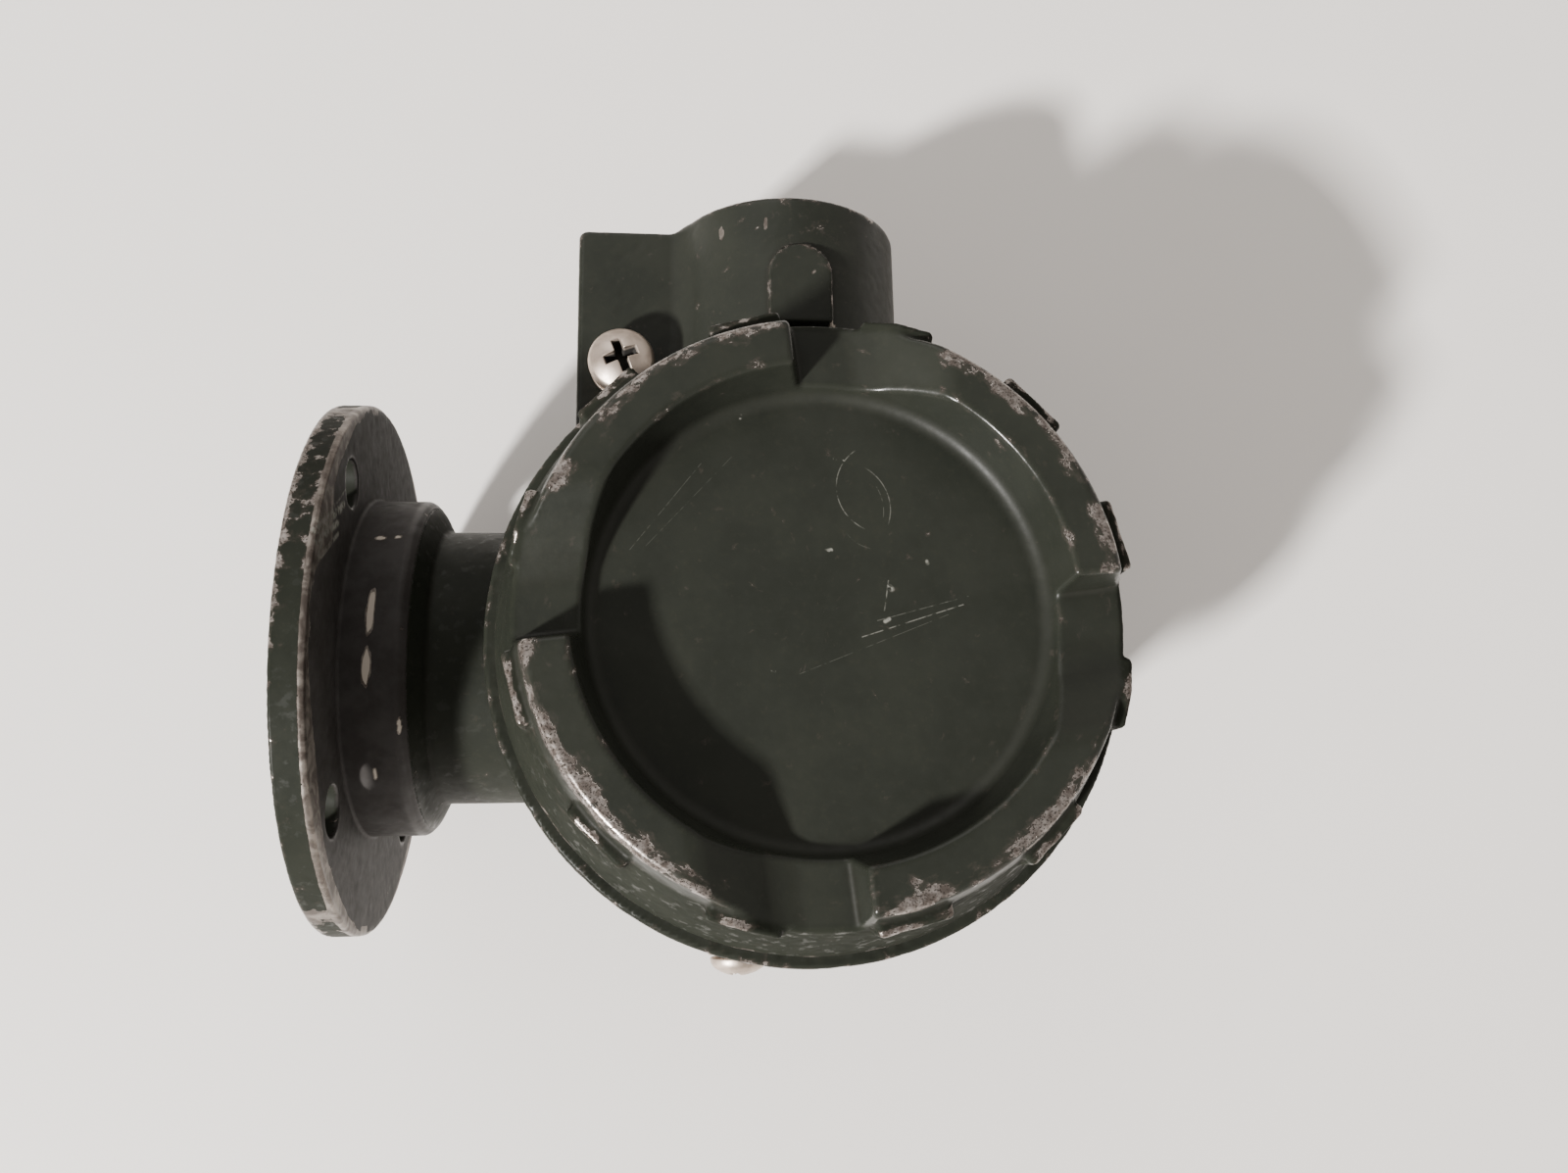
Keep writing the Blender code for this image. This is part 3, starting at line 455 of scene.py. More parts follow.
def crossed_quads(inside, number, axis):
    """One quad for each grid edge along an axis that the surface crosses, facing outwards."""
    near = [slice(None)] * 3
    far = [slice(None)] * 3
    near[axis] = slice(0, -1)
    far[axis] = slice(1, None)
    at = np.argwhere(inside[tuple(near)] != inside[tuple(far)])
    first, second = [other for other in range(3) if other != axis]
    at = at[(at[:, first] > 0) & (at[:, second] > 0)]
    leaves = inside[tuple(at.T)]
    ring = []
    for du, dv in ((1, 1), (0, 1), (0, 0), (1, 0)):
        cell = at.copy()
        cell[:, first] -= du
        cell[:, second] -= dv
        ring.append(number[tuple(cell.T)])
    quad = np.stack(ring, 1)
    flip = ~leaves if axis == 1 else leaves
    quad[flip] = quad[flip][:, ::-1]
    return quad[:, ::-1]


def fill_mesh(mesh, points, quads):
    """Put points in millimetres and their quads into a mesh in metres."""
    mesh.vertices.add(len(points))
    mesh.vertices.foreach_set("co", (points * MM).astype(np.float32).ravel())
    mesh.loops.add(quads.size)
    mesh.loops.foreach_set("vertex_index", quads.astype(np.int32).ravel())
    mesh.polygons.add(len(quads))
    mesh.polygons.foreach_set("loop_start", np.arange(0, quads.size, 4, dtype=np.int32))
    mesh.update(calc_edges=True)


def put(mesh, name, values):
    """Store one number per vertex for the materials to read."""
    layer = mesh.attributes.new(name, "FLOAT", "POINT")
    layer.data.foreach_set("value", values.astype(np.float32))


def moulded(name, field, low, high, step, edge_scale=0.8, place=None, **masks):
    """Object whose surface is a field's zero level, with exact normals and named masks."""
    axes = [np.arange(start - 2 * step, end + 3 * step, step, dtype=np.float32)
            for start, end in zip(low, high)]
    points, quads = net(sample(field, axes), axes)
    for _ in range(3):
        gradient, _ = slope(field, points, 0.05 * step + 0.01)
        level = field(*points.T)
        length = np.maximum((gradient ** 2).sum(1), 0.2)
        move = (level / length)[:, None] * gradient
        points -= np.clip(move, -0.6 * step, 0.6 * step)
    normals, _ = slope(field, points, 0.12 * step + 0.01)
    normals /= np.maximum(np.linalg.norm(normals, axis=1), 1e-6)[:, None]
    _, bend = slope(field, points, edge_scale)
    mesh = bpy.data.meshes.new(name)
    fill_mesh(mesh, points, quads)
    put(mesh, "edge", np.clip(bend / edge_scale, 0, 1))
    put(mesh, "hollow", np.clip(-bend / edge_scale, 0, 1))
    for mask, measure in masks.items():
        put(mesh, mask, measure(*points.T))
    mesh.polygons.foreach_set("use_smooth", np.ones(len(quads), bool))
    mesh.normals_split_custom_set_from_vertices(normals)
    item = bpy.data.objects.new(name, mesh)
    bpy.context.scene.collection.objects.link(item)
    if place is not None:
        item.matrix_world = place
    return item


# ---------------------------------------------------------------- wear on the castings

def bump_at(value, centre, width):
    """Bell curve about a centre."""
    return np.exp(-((value - centre) / width) ** 2)


def arc(angle, centre, width, power=2):
    """Bell curve about a direction, the short way round, all in degrees."""
    gap = (angle - centre + 180) % 360 - 180
    return np.exp(-(gap / width) ** power)


def ovals(x, y, rows, lean=0.0):
    """Soft oval spots: centre, half sizes and strength of each, leaning along Y."""
    spots = np.zeros_like(x)
    for sx, sy, half_x, half_y, strength in rows:
        across = (x - sx - lean * (y - sy)) / half_x
        oval = 1.5 - across ** 2 - ((y - sy) / half_y) ** 2
        spots = np.maximum(spots, strength * np.clip(oval, 0, 1))
    return spots


# Angle, half width and strength of each rubbed stretch of the cap's rim
RIM_STRETCHES = (
    (104, 8, 0.65), (124, 9, 0.65), (141, 8, 0.4), (153, 6, 0.55), (61, 7, 0.9), (47, 7, 0.65),
    (34, 7, 0.45), (15, 7, 0.75), (-13, 8, 0.5), (-39, 9, 0.85), (-52, 6, 0.5), (-74, 7, 0.8),
    (-142, 10, 0.75), (-121, 11, 0.95), (-171, 6, 0.6), (-156, 7, 0.65),
)
# Angle, half width and depth of the scraped band inside the flange's rim
FLANGE_BITES = (
    (42, 15, 2.0), (21, 9, 6.0), (-28, 20, 3.4), (-62, 18, 2.0), (135, 20, 1.5), (-135, 16, 1.5),
)
# Angle and half width of the scraped patches on the flange's rim
FLANGE_PATCHES = ((-66, 5), (-88, 4), (72, 5), (58, 6))
# Bare spots in plan: centre, half sizes and strength
COLLAR_SPOTS = (
    (8.7, 3.8, 0.55, 3.2, 2.0), (8.5, -3.8, 0.5, 2.6, 2.0), (8.4, 15.3, 0.7, 0.35, 2.0),
    (10.8, 15.5, 0.3, 0.3, 2.0), (12.7, -11.5, 0.25, 1.0, 2.0), (8.9, -17.6, 0.3, 0.7, 2.0),
)
HOUSING_SPOTS = (
    (57.1, 66.9, 0.4, 1.2, 1.05), (63.8, 67.1, 0.35, 1.1, 1.05), (74.1, 50.2, 0.5, 0.5, 2.0),
    (71.0, 58.8, 0.25, 0.25, 2.0),
)


def cap_rub(x, y, z):
    """Where the cap has been rubbed: its rim's outer edge, most on some stretches."""
    r = np.hypot(x - AXIS_X, y)
    angle = np.degrees(np.arctan2(y, x - AXIS_X))
    amount = np.full_like(r, 0.30)
    for centre, width, strength in RIM_STRETCHES:
        amount += strength * arc(angle, centre, width)
    outer = np.exp(-(np.hypot(np.maximum(36.2 - r, 0) / 1.6, (z - CAP_TOP) / 1.6)) ** 2)
    inner = bump_at(r, RIM_INNER_R + 0.4, 0.9) * bump_at(z, CAP_TOP, 0.8) * 0.2
    skirt = bump_at(z, SKIRT_BOTTOM + 0.4, 0.8) * 0.5 * (r > 40)
    skirt = np.maximum(skirt, bump_at(z, GRIP_TOP - 0.2, 0.8) * 0.5 * (r > 38.3))
    return np.clip((outer + inner) * amount + skirt, 0, 1)


def cap_matt(x, y, z):
    """Where the cap's paint has lost its gloss: the handled skirt and its grip pads."""
    r = np.hypot(x - AXIS_X, y)
    return np.clip((r - 37.6) / 0.6, 0, 1) * np.clip((47.5 - z) / 0.8, 0, 1)


def flange_matt(x, y, z):
    """Share of lost gloss on the flange: most on its rim, some elsewhere."""
    return np.where(np.hypot(y, z) > 39.4, 0.8, 0.3)


def housing_matt(x, y, z):
    """How far the housing has lost its gloss: on the neck and on the ring."""
    ring = (np.hypot(x - AXIS_X, y) > 42.5) * (z > 22.5) * (np.abs(y) < 45)
    return np.maximum(0.6 * np.clip((34.0 - x) / 4.0, 0, 1), 0.7 * ring)


def flange_rub(x, y, z):
    """Where the flange has been rubbed: its rim, most at the upper end."""
    r = np.hypot(y, z)
    angle = np.degrees(np.arctan2(y, z))
    amount = 0.34 + 0.62 * bump_at(angle, 34, 32) + 0.45 * bump_at(angle, -72, 14)
    rim = np.exp(-(np.maximum(39.2 - r, 0) / 0.9) ** 2)
    edges = bump_at(x, 0.2, 0.8) + bump_at(x, FLANGE_T - 0.2, 0.8)
    middle = np.clip(amount - 0.45, 0, 1)
    return np.clip(rim * (amount * 0.95 * np.minimum(edges, 1) + middle), 0, 1)


def flange_scrape(x, y, z):
    """Bare metal on the flange: a band inside its rim, and small spots on the collar."""
    r = np.hypot(y, z)
    angle = np.degrees(np.arctan2(y, z))
    bound = np.full_like(r, 39.6)
    for centre, width, depth in FLANGE_BITES:
        bound -= depth * arc(angle, centre, width)
    band = np.clip((r - bound) / 1.2 + 0.5, 0, 1) * (x > FLANGE_T - 0.8)
    patch = np.zeros_like(r)
    for centre, width in FLANGE_PATCHES:
        patch = np.maximum(patch, 0.62 * arc(angle, centre, width, 4) * (r > 38.5))
    spots = ovals(x, y, COLLAR_SPOTS, 0.03) * (z > 12) * (r > COLLAR_R - 1.1) * (x > 6)
    return np.maximum(np.maximum(band, patch), spots)


def flange_dull_and_painted_fill(x, y, z):
    """Share of the dull, worn finish on the flange's front face and its collar; the collar's full share
    also lightens its shaded side, as painted fill light.
    """
    return np.where(np.hypot(y, z) > 26.2, 0.9, 1.0) * (x > FLANGE_T - 0.3)


def housing_rub(x, y, z):
    """Where the housing has been rubbed: boss end, arched pad's outline, block corner and ring."""
    cx = x - AXIS_X
    outline = 1.25 * np.exp(-(arch_outline(cx, y) / 0.2) ** 2) * (z > 17) * (y > 50.0) * (y < 64)
    end = bump_at(y, BOSS_END - 0.4, 0.9) * 0.5 * (np.hypot(cx, z) > 17)
    ring = bump_at(np.hypot(cx, y), RING_R, 0.5) * 0.35 * (z > 20)
    corner = np.exp(-(np.hypot(x - BLOCK_LEFT - 1, y - BLOCK_END + 1) / 1.6) ** 2) * 0.5
    crest = bump_at(cx, 2.0, 9.0) * bump_at(y, 66.0, 5.0) * (z > 10) * 0.25
    return np.clip(outline * 0.62 + end + ring + corner + crest, 0, 1)


def housing_scrape(x, y, z):
    """Bare spots: two blotches near the boss's end and two chips beside the arched pad."""
    return ovals(x, y, HOUSING_SPOTS) * (z > 14)


# ---------------------------------------------------------------- material building

LINE_CORE = 0.3


class Recipe:
    """Short names for the nodes a material is made of."""

    def __init__(self, name):
        """Start a material whose coordinates are the object's own."""
        self.material = bpy.data.materials.new(name)
        self.material.use_nodes = True
        self.tree = self.material.node_tree
        self.shader = self.tree.nodes["Principled BSDF"]
        self.place = self.add("ShaderNodeTexCoord").outputs["Object"]

    def add(self, kind, **settings):
        """Add a node and give it its settings."""
        node = self.tree.nodes.new(kind)
        for key, value in settings.items():
            setattr(node, key, value)
        return node

    def feed(self, socket, value):
        """Link a socket to an output, or set its own value."""
        if isinstance(value, bpy.types.NodeSocket):
            self.tree.links.new(value, socket)
        else:
            socket.default_value = value

    def set(self, **values):
        """Feed the surface shader's inputs by name."""
        for key, value in values.items():
            self.feed(self.shader.inputs[key.replace("_", " ")], value)

    def calc(self, operation, a, b=0.0, c=0.0):
        """Result of one arithmetic step."""
        node = self.add("ShaderNodeMath", operation=operation)
        for socket, value in zip(node.inputs, (a, b, c)):
            self.feed(socket, value)
        return node.outputs[0]

    def around(self, centre_x, squeeze):
        """Coordinates round a vertical axis: distance along the rim, radius and height."""
        split = self.add("ShaderNodeSeparateXYZ")
        self.feed(split.inputs[0], self.place)
        x = self.calc("SUBTRACT", split.outputs["X"], centre_x * MM)
        y = split.outputs["Y"]
        radius = self.calc("SQRT", self.calc("MULTIPLY_ADD", x, x, self.calc("MULTIPLY", y, y)))
        along = self.calc("MULTIPLY", self.calc("ARCTAN2", y, x), squeeze * RIM_R * MM)
        join = self.add("ShaderNodeCombineXYZ")
        for socket, value in zip(join.inputs, (along, radius, split.outputs["Z"])):
            self.feed(socket, value)
        return join.outputs[0]

    def noise(self, size, detail=4.0, rough=0.55, distortion=0.0, stretch=None, place=None):
        """Noise whose features are about a given size in millimetres."""
        node = self.add("ShaderNodeTexNoise")
        node.inputs["Scale"].default_value = 1.0 / (size * MM)
        node.inputs["Detail"].default_value = detail
        node.inputs["Roughness"].default_value = rough
        node.inputs["Distortion"].default_value = distortion
        place = place or self.place
        if stretch:
            mapping = self.add("ShaderNodeMapping")
            mapping.inputs["Scale"].default_value = stretch
            self.feed(mapping.inputs["Vector"], place)
            place = mapping.outputs[0]
        self.feed(node.inputs["Vector"], place)
        return node.outputs["Fac"]

    def step(self, value, low, high):
        """Smooth step from 0 at one value to 1 at another."""
        node = self.add("ShaderNodeMapRange", interpolation_type="SMOOTHSTEP")
        self.feed(node.inputs["Value"], value)
        node.inputs["From Min"].default_value = low
        node.inputs["From Max"].default_value = high
        return node.outputs[0]

    def span(self, value, low, high):
        """Map 0..1 onto a range."""
        node = self.add("ShaderNodeMapRange")
        self.feed(node.inputs["Value"], value)
        node.inputs["To Min"].default_value = low
        node.inputs["To Max"].default_value = high
        return node.outputs[0]

    def blend(self, share, a, b):
        """Colour between two colours."""
        node = self.add("ShaderNodeMix", data_type="RGBA")
        self.feed(node.inputs["Factor"], share)
        self.feed(node.inputs[6], (*a, 1.0) if isinstance(a, tuple) else a)
        self.feed(node.inputs[7], (*b, 1.0) if isinstance(b, tuple) else b)
        return node.outputs[2]

    def stored(self, name):
        """Value that the mesh keeps under a name, or 0 where it keeps none."""
        node = self.add("ShaderNodeAttribute", attribute_name=name)
        return node.outputs["Fac"]

    def relief(self, height, depth, normal=None):
        """Bump from a 0..1 height whose full depth is given in millimetres."""
        node = self.add("ShaderNodeBump")
        node.inputs["Distance"].default_value = depth * MM
        self.feed(node.inputs["Height"], height)
        if normal is not None:
            self.feed(node.inputs["Normal"], normal)
        return node.outputs[0]

    def stroke(self, start, end, width):
        """Mask of a thin straight scratch between two points in millimetres."""
        a = Vector(start) * MM
        along = Vector(end) * MM - a
        offset = self.add("ShaderNodeVectorMath", operation="SUBTRACT")
        self.feed(offset.inputs[0], self.place)
        offset.inputs[1].default_value = a
        dot = self.add("ShaderNodeVectorMath", operation="DOT_PRODUCT")
        self.feed(dot.inputs[0], offset.outputs[0])
        dot.inputs[1].default_value = along / along.length_squared
        share = self.add("ShaderNodeClamp")
        self.feed(share.inputs["Value"], dot.outputs["Value"])
        reach = self.add("ShaderNodeVectorMath", operation="SCALE")
        reach.inputs[0].default_value = along
        self.feed(reach.inputs["Scale"], share.outputs[0])
        miss = self.add("ShaderNodeVectorMath", operation="DISTANCE")
        self.feed(miss.inputs[0], offset.outputs[0])
        self.feed(miss.inputs[1], reach.outputs[0])
        return self.step(miss.outputs["Value"], width * MM, width * LINE_CORE * MM)

    def loop(self, centre, radius, towards, half_angle, width):
        """Mask of a thin scratch along an arc in the XY plane, in millimetres and degrees."""
        offset = self.add("ShaderNodeVectorMath", operation="SUBTRACT")
        self.feed(offset.inputs[0], self.place)
        offset.inputs[1].default_value = Vector(centre) * MM
        length = self.add("ShaderNodeVectorMath", operation="LENGTH")
        self.feed(length.inputs[0], offset.outputs[0])
        miss = self.calc("ABSOLUTE", self.calc("SUBTRACT", length.outputs["Value"], radius * MM))
        line = self.step(miss, width * MM, width * LINE_CORE * MM)
        side = self.add("ShaderNodeVectorMath", operation="DOT_PRODUCT")
        self.feed(side.inputs[0], offset.outputs[0])
        angle = math.radians(towards)
        side.inputs[1].default_value = (math.cos(angle), math.sin(angle), 0.0)
        limit = radius * MM * math.cos(math.radians(half_angle))
        return self.calc("MULTIPLY", line, self.step(side.outputs["Value"], limit, limit + 0.8 * MM))


# Colours of the castings: pairs are the two ends of a mottled tone
OLIVE = (0.0148, 0.0166, 0.0127), (0.0188, 0.0206, 0.0158)
DUSTY_OLIVE = (0.028, 0.028, 0.020)
HOLLOW_DARKENING = (0.010, 0.009, 0.007)
# Colour blended into concave hollows, making the hollows darker
THIN_PAINT = (0.042, 0.036, 0.030)
DULL_COAT = (0.031, 0.0280, 0.0263), (0.044, 0.0410, 0.0393)
CHIPPED_METAL = (0.115, 0.096, 0.084), (0.29, 0.262, 0.242)
PITTED_METAL = (0.040, 0.034, 0.028)
SCORED_METAL = (0.095, 0.080, 0.070), (0.24, 0.215, 0.19)
BRIGHT_METAL = (0.47, 0.42, 0.36)
SCRATCH_LINE = (0.25, 0.25, 0.22)
PAINT_SHEEN = 0.18
MATT_LOSS = 0.9556


def worn_places(m, patch, speck):
    """Masks of bare metal, thinned paint, scrapes and bright spots."""
    amount = m.calc("MULTIPLY_ADD", m.stored("rub"), 0.26, patch)
    amount = m.calc("MULTIPLY_ADD", m.stored("edge"), 0.06, amount)
    amount = m.calc("MULTIPLY_ADD", m.calc("SUBTRACT", speck, 0.5), 0.10, amount)
    ragged = m.calc("MULTIPLY_ADD", m.calc("SUBTRACT", patch, 0.5), 0.8, m.stored("scrape"))
    scrape = m.step(ragged, 0.48, 0.54)
    bare = m.calc("MAXIMUM", m.step(amount, 0.715, 0.735), scrape)
    thin = m.step(amount, 0.62, 0.72)
    return bare, thin, scrape, m.step(m.stored("scrape"), 1.15, 1.30)


def paint_colour(m, thin):
    """Mottled olive, darker in hollows, thin near bare metal and brown-grey where dull."""
    paint = m.blend(m.step(m.noise(9.0, 3.0), 0.3, 0.7), *OLIVE)
    dust = m.step(m.noise(0.9, 6.0, 0.62), 0.5, 0.8)
    paint = m.blend(m.calc("MULTIPLY", dust, 0.3), paint, DUSTY_OLIVE)
    # Darker in the concave hollows, following the mesh's hollow mask
    paint = m.blend(m.calc("MULTIPLY", m.stored("hollow"), 0.35), paint, HOLLOW_DARKENING)
    paint = m.blend(m.calc("MULTIPLY", thin, 0.5), paint, THIN_PAINT)
    dull = m.blend(m.step(m.noise(5.0, 4.0, 0.6), 0.35, 0.65), *DULL_COAT)
    # On the flange's collar this brown-grey coat is partly painted fill light that lightens its shaded
    # side
    return m.blend(m.stored("dull"), paint, dull)


def metal_colour(m, speck, scrape, spot):
    """Bare aluminium: pitted in chips, streaked in scrapes, bright in spots."""
    metal = m.blend(m.step(m.noise(1.1, 5.0, 0.6), 0.36, 0.66), *CHIPPED_METAL)
    metal = m.blend(m.step(speck, 0.53, 0.60), metal, PITTED_METAL)
    scored = m.blend(m.step(m.noise(2.6, 5.0, 0.6, 0.8), 0.38, 0.68), *SCORED_METAL)
    metal = m.blend(scrape, metal, scored)
    return m.blend(spot, metal, BRIGHT_METAL)


def scratched(m, colour, strokes, loops):
    """A colour with pale broken lines scratched into it."""
    gap = m.step(m.noise(1.3, 3.0, 0.6), 0.40, 0.56)
    marks = [m.calc("MULTIPLY", m.stroke(*shape), strength) for *shape, strength in strokes]
    marks += [m.calc("MULTIPLY", m.loop(*shape), strength) for *shape, strength in loops]
    for mark in marks:
        colour = m.blend(m.calc("MULTIPLY", mark, gap), colour, SCRATCH_LINE)
    return colour


def olive_paint(name, axis_x=None, strokes=(), loops=()):
    """Dark olive paint on cast aluminium, chipped to bare metal along its edges."""
    m = Recipe(name)
    along = None if axis_x is None else m.around(axis_x, 0.55)
    patch = m.noise(2.1, 6.0, 0.62, 0.15, place=along)
    speck = m.noise(0.3, 4.0, 0.65)
    bare, thin, scrape, spot = worn_places(m, patch, speck)
    colour = m.blend(bare, paint_colour(m, thin), metal_colour(m, speck, scrape, spot))
    colour = scratched(m, colour, strokes, loops)
    dull = m.stored("dull")
    patchy = m.span(m.step(m.noise(1.8, 4.0, 0.6), 0.32, 0.44), 0.3, 1.0)
    matt = m.calc("MINIMUM", m.calc("MULTIPLY", m.stored("matt"), patchy), 1.0)
    rough = m.span(m.noise(1.6, 4.0, 0.6), 0.32, 0.60)
    for mask, change in ((m.stored("edge"), -0.24), (bare, -0.04), (dull, 0.12), (matt, 0.12)):
        rough = m.calc("MULTIPLY_ADD", mask, change, rough)
    smooth = m.calc("MULTIPLY_ADD", dull, -0.9, 1.0)
    normal = m.relief(m.calc("MULTIPLY", bare, -1.0), 0.05)
    normal = m.relief(m.calc("MULTIPLY", m.noise(2.2, 3.0, 0.5), smooth), 0.045, normal)
    normal = m.relief(m.calc("MULTIPLY", speck, smooth), 0.005, normal)
    gloss = m.calc("MULTIPLY_ADD", matt, -MATT_LOSS, 1.0)
    m.set(Base_Color=colour, Roughness=rough, Normal=normal)
    m.set(Specular_IOR_Level=m.calc("MULTIPLY", gloss, PAINT_SHEEN))
    m.set(Metallic=m.calc("MULTIPLY", m.calc("SUBTRACT", bare, spot), 0.7))
    return m.material


def bright_metal(name, colour, dark, rough, grain=0.25, streak=(1, 1, 1)):
    """Metal with fine machining streaks, slight staining and dirt in its recesses."""
    m = Recipe(name)
    stain = m.noise(2.5, 4.0)
    lines = m.noise(grain, 3.0, 0.6, 0.0, streak)
    tone = m.blend(m.step(stain, 0.35, 0.72), colour, dark)
    dirt = m.stored("dirt")
    m.set(Base_Color=m.blend(dirt, tone, (0.012, 0.010, 0.008)))
    m.set(Metallic=m.calc("SUBTRACT", 1.0, dirt))
    wet = m.calc("MULTIPLY_ADD", stain, 0.5, m.calc("MULTIPLY", lines, 0.5))
    m.set(Roughness=m.calc("MULTIPLY_ADD", dirt, 0.5, m.span(wet, rough * 0.7, rough * 1.5)))
    m.set(Normal=m.relief(lines, 0.01))
    return m.material


def moulded_stuff(name, colour, shade, rough, size=0.5, depth=0.02):
    """Rubber or plastic with a fine moulded grain."""
    m = Recipe(name)
    grain = m.noise(size, 4.0, 0.6)
    m.set(Base_Color=m.blend(m.noise(3.0, 3.0), colour, shade))
    m.set(Roughness=m.span(grain, rough * 0.85, rough * 1.15), Normal=m.relief(grain, depth))
    return m.material


def coated_glass(name):
    """Optical glass with a faint purple-green coating and a little dust."""
    m = Recipe(name)
    dust = m.step(m.noise(0.4, 3.0, 0.6), 0.66, 0.78)
    m.set(Base_Color=m.blend(m.noise(6.0, 2.0), (0.80, 0.86, 0.92), (0.86, 0.82, 0.93)))
    m.set(Roughness=m.span(dust, 0.02, 0.25), Transmission_Weight=1.0, IOR=1.52)
    m.set(Coat_Weight=0.4, Coat_Roughness=0.05, Normal=m.relief(dust, 0.005))
    return m.material


def circuit_board(name):
    """Green solder mask over copper tracks, with tinned pads."""
    m = Recipe(name)
    tracks = m.add("ShaderNodeTexBrick")
    tracks.inputs["Scale"].default_value = 330.0
    tracks.inputs["Mortar Size"].default_value = 0.035
    m.feed(tracks.inputs["Vector"], m.place)
    cells = m.add("ShaderNodeTexVoronoi", feature="F1")
    cells.inputs["Scale"].default_value = 380.0
    m.feed(cells.inputs["Vector"], m.place)
    pads = m.step(cells.outputs["Distance"], 0.17, 0.13)
    mask = m.blend(tracks.outputs["Fac"], (0.010, 0.085, 0.032), (0.022, 0.15, 0.055))
    mask = m.blend(m.calc("MULTIPLY", m.noise(8.0, 2.0), 0.3), mask, (0.006, 0.05, 0.02))
    m.set(Base_Color=m.blend(pads, mask, (0.62, 0.60, 0.55)), Metallic=m.calc("MULTIPLY", pads, 0.9))
    m.set(Roughness=m.span(m.noise(0.6, 3.0), 0.22, 0.38), Normal=m.relief(tracks.outputs["Fac"], 0.03))
    return m.material


def wound_copper(name):
    """Enamelled copper wire, seen as fine ridges round the winding."""
    m = Recipe(name)
    wire = m.add("ShaderNodeTexWave", wave_type="RINGS", rings_direction="X")
    wire.inputs["Scale"].default_value = 900.0
    wire.inputs["Distortion"].default_value = 1.5
    m.feed(wire.inputs["Vector"], m.place)
    m.set(Base_Color=m.blend(wire.outputs["Fac"], (0.32, 0.10, 0.035), (0.62, 0.26, 0.10)), Metallic=1.0)
    m.set(Roughness=m.span(m.noise(0.8, 3.0), 0.22, 0.4), Normal=m.relief(wire.outputs["Fac"], 0.08))
    return m.material


# Straight scratches on the recessed face: start and end in plan, width and strength
FACE_LINES = (
    ((73.3, -2.7), (86.5, 1.5), 0.10, 0.45),
    ((75.3, -0.6), (87.2, 2.6), 0.07, 0.25),
    ((65.2, -7.4), (84.5, 0.2), 0.06, 0.14),
    ((76.9, 4.6), (76.2, 0.4), 0.12, 0.40),
    ((77.0, 3.8), (77.3, 3.5), 0.45, 0.80),
    ((76.3, -0.7), (76.8, -0.4), 0.35, 0.80),
    ((68.8, 8.4), (69.6, 8.6), 0.35, 0.80),
    ((82.0, 7.2), (82.1, 6.9), 0.30, 0.60),
    ((70.3, 20.9), (71.5, 20.6), 0.22, 0.70),
    ((58.1, 26.6), (58.1, 26.3), 0.32, 0.90),
    ((61.8, -6.9), (62.1, -7.0), 0.25, 0.70),
    ((44.0, 8.5), (53.0, 20.0), 0.06, 0.16),
    ((46.0, 9.0), (57.0, 21.0), 0.05, 0.12),
)
# Curved scratches on the same face: centre, radius, direction, half angle, width and strength
FACE_LOOPS = (
    ((76.6, 17.0), 6.1, 185.0, 62.0, 0.10, 0.34),
    ((71.2, 14.2), 6.3, 20.0, 42.0, 0.10, 0.30),
    ((70.4, 14.0), 6.2, 12.0, 30.0, 0.07, 0.20),
    ((75.5, 13.4), 4.6, 240.0, 30.0, 0.07, 0.16),
)
# Scores across the flange's front face: start and end in Y and Z, width and strength
FLANGE_SCORES = (
    ((18.4, 26.3), (9.5, 42.0), 0.95, 1.00),
    ((15.3, 28.7), (10.2, 38.0), 0.75, 0.90),
    ((17.0, 31.0), (8.6, 37.0), 0.50, 0.75),
    ((13.0, 38.7), (12.0, 33.0), 0.60, 0.80),
    ((13.8, 28.3), (8.3, 36.7), 0.50, 0.70),
    ((21.5, 24.8), (15.0, 33.5), 0.30, 0.50),
)
SCRATCHES = [((*start, RECESS_FLOOR), (*end, RECESS_FLOOR), width, strength)
             for start, end, width, strength in FACE_LINES]
LOOPS = [((*centre, RECESS_FLOOR), *rest) for centre, *rest in FACE_LOOPS]
SCORES = [((FLANGE_T, *start), (FLANGE_T, *end), width, strength)
          for start, end, width, strength in FLANGE_SCORES]

# Grain squeezed along an axis into the rings that turning leaves
GROUND_X = (8, 1, 1)
TURNED_X = (6, 1, 1)
TURNED_Z = (1, 1, 8)

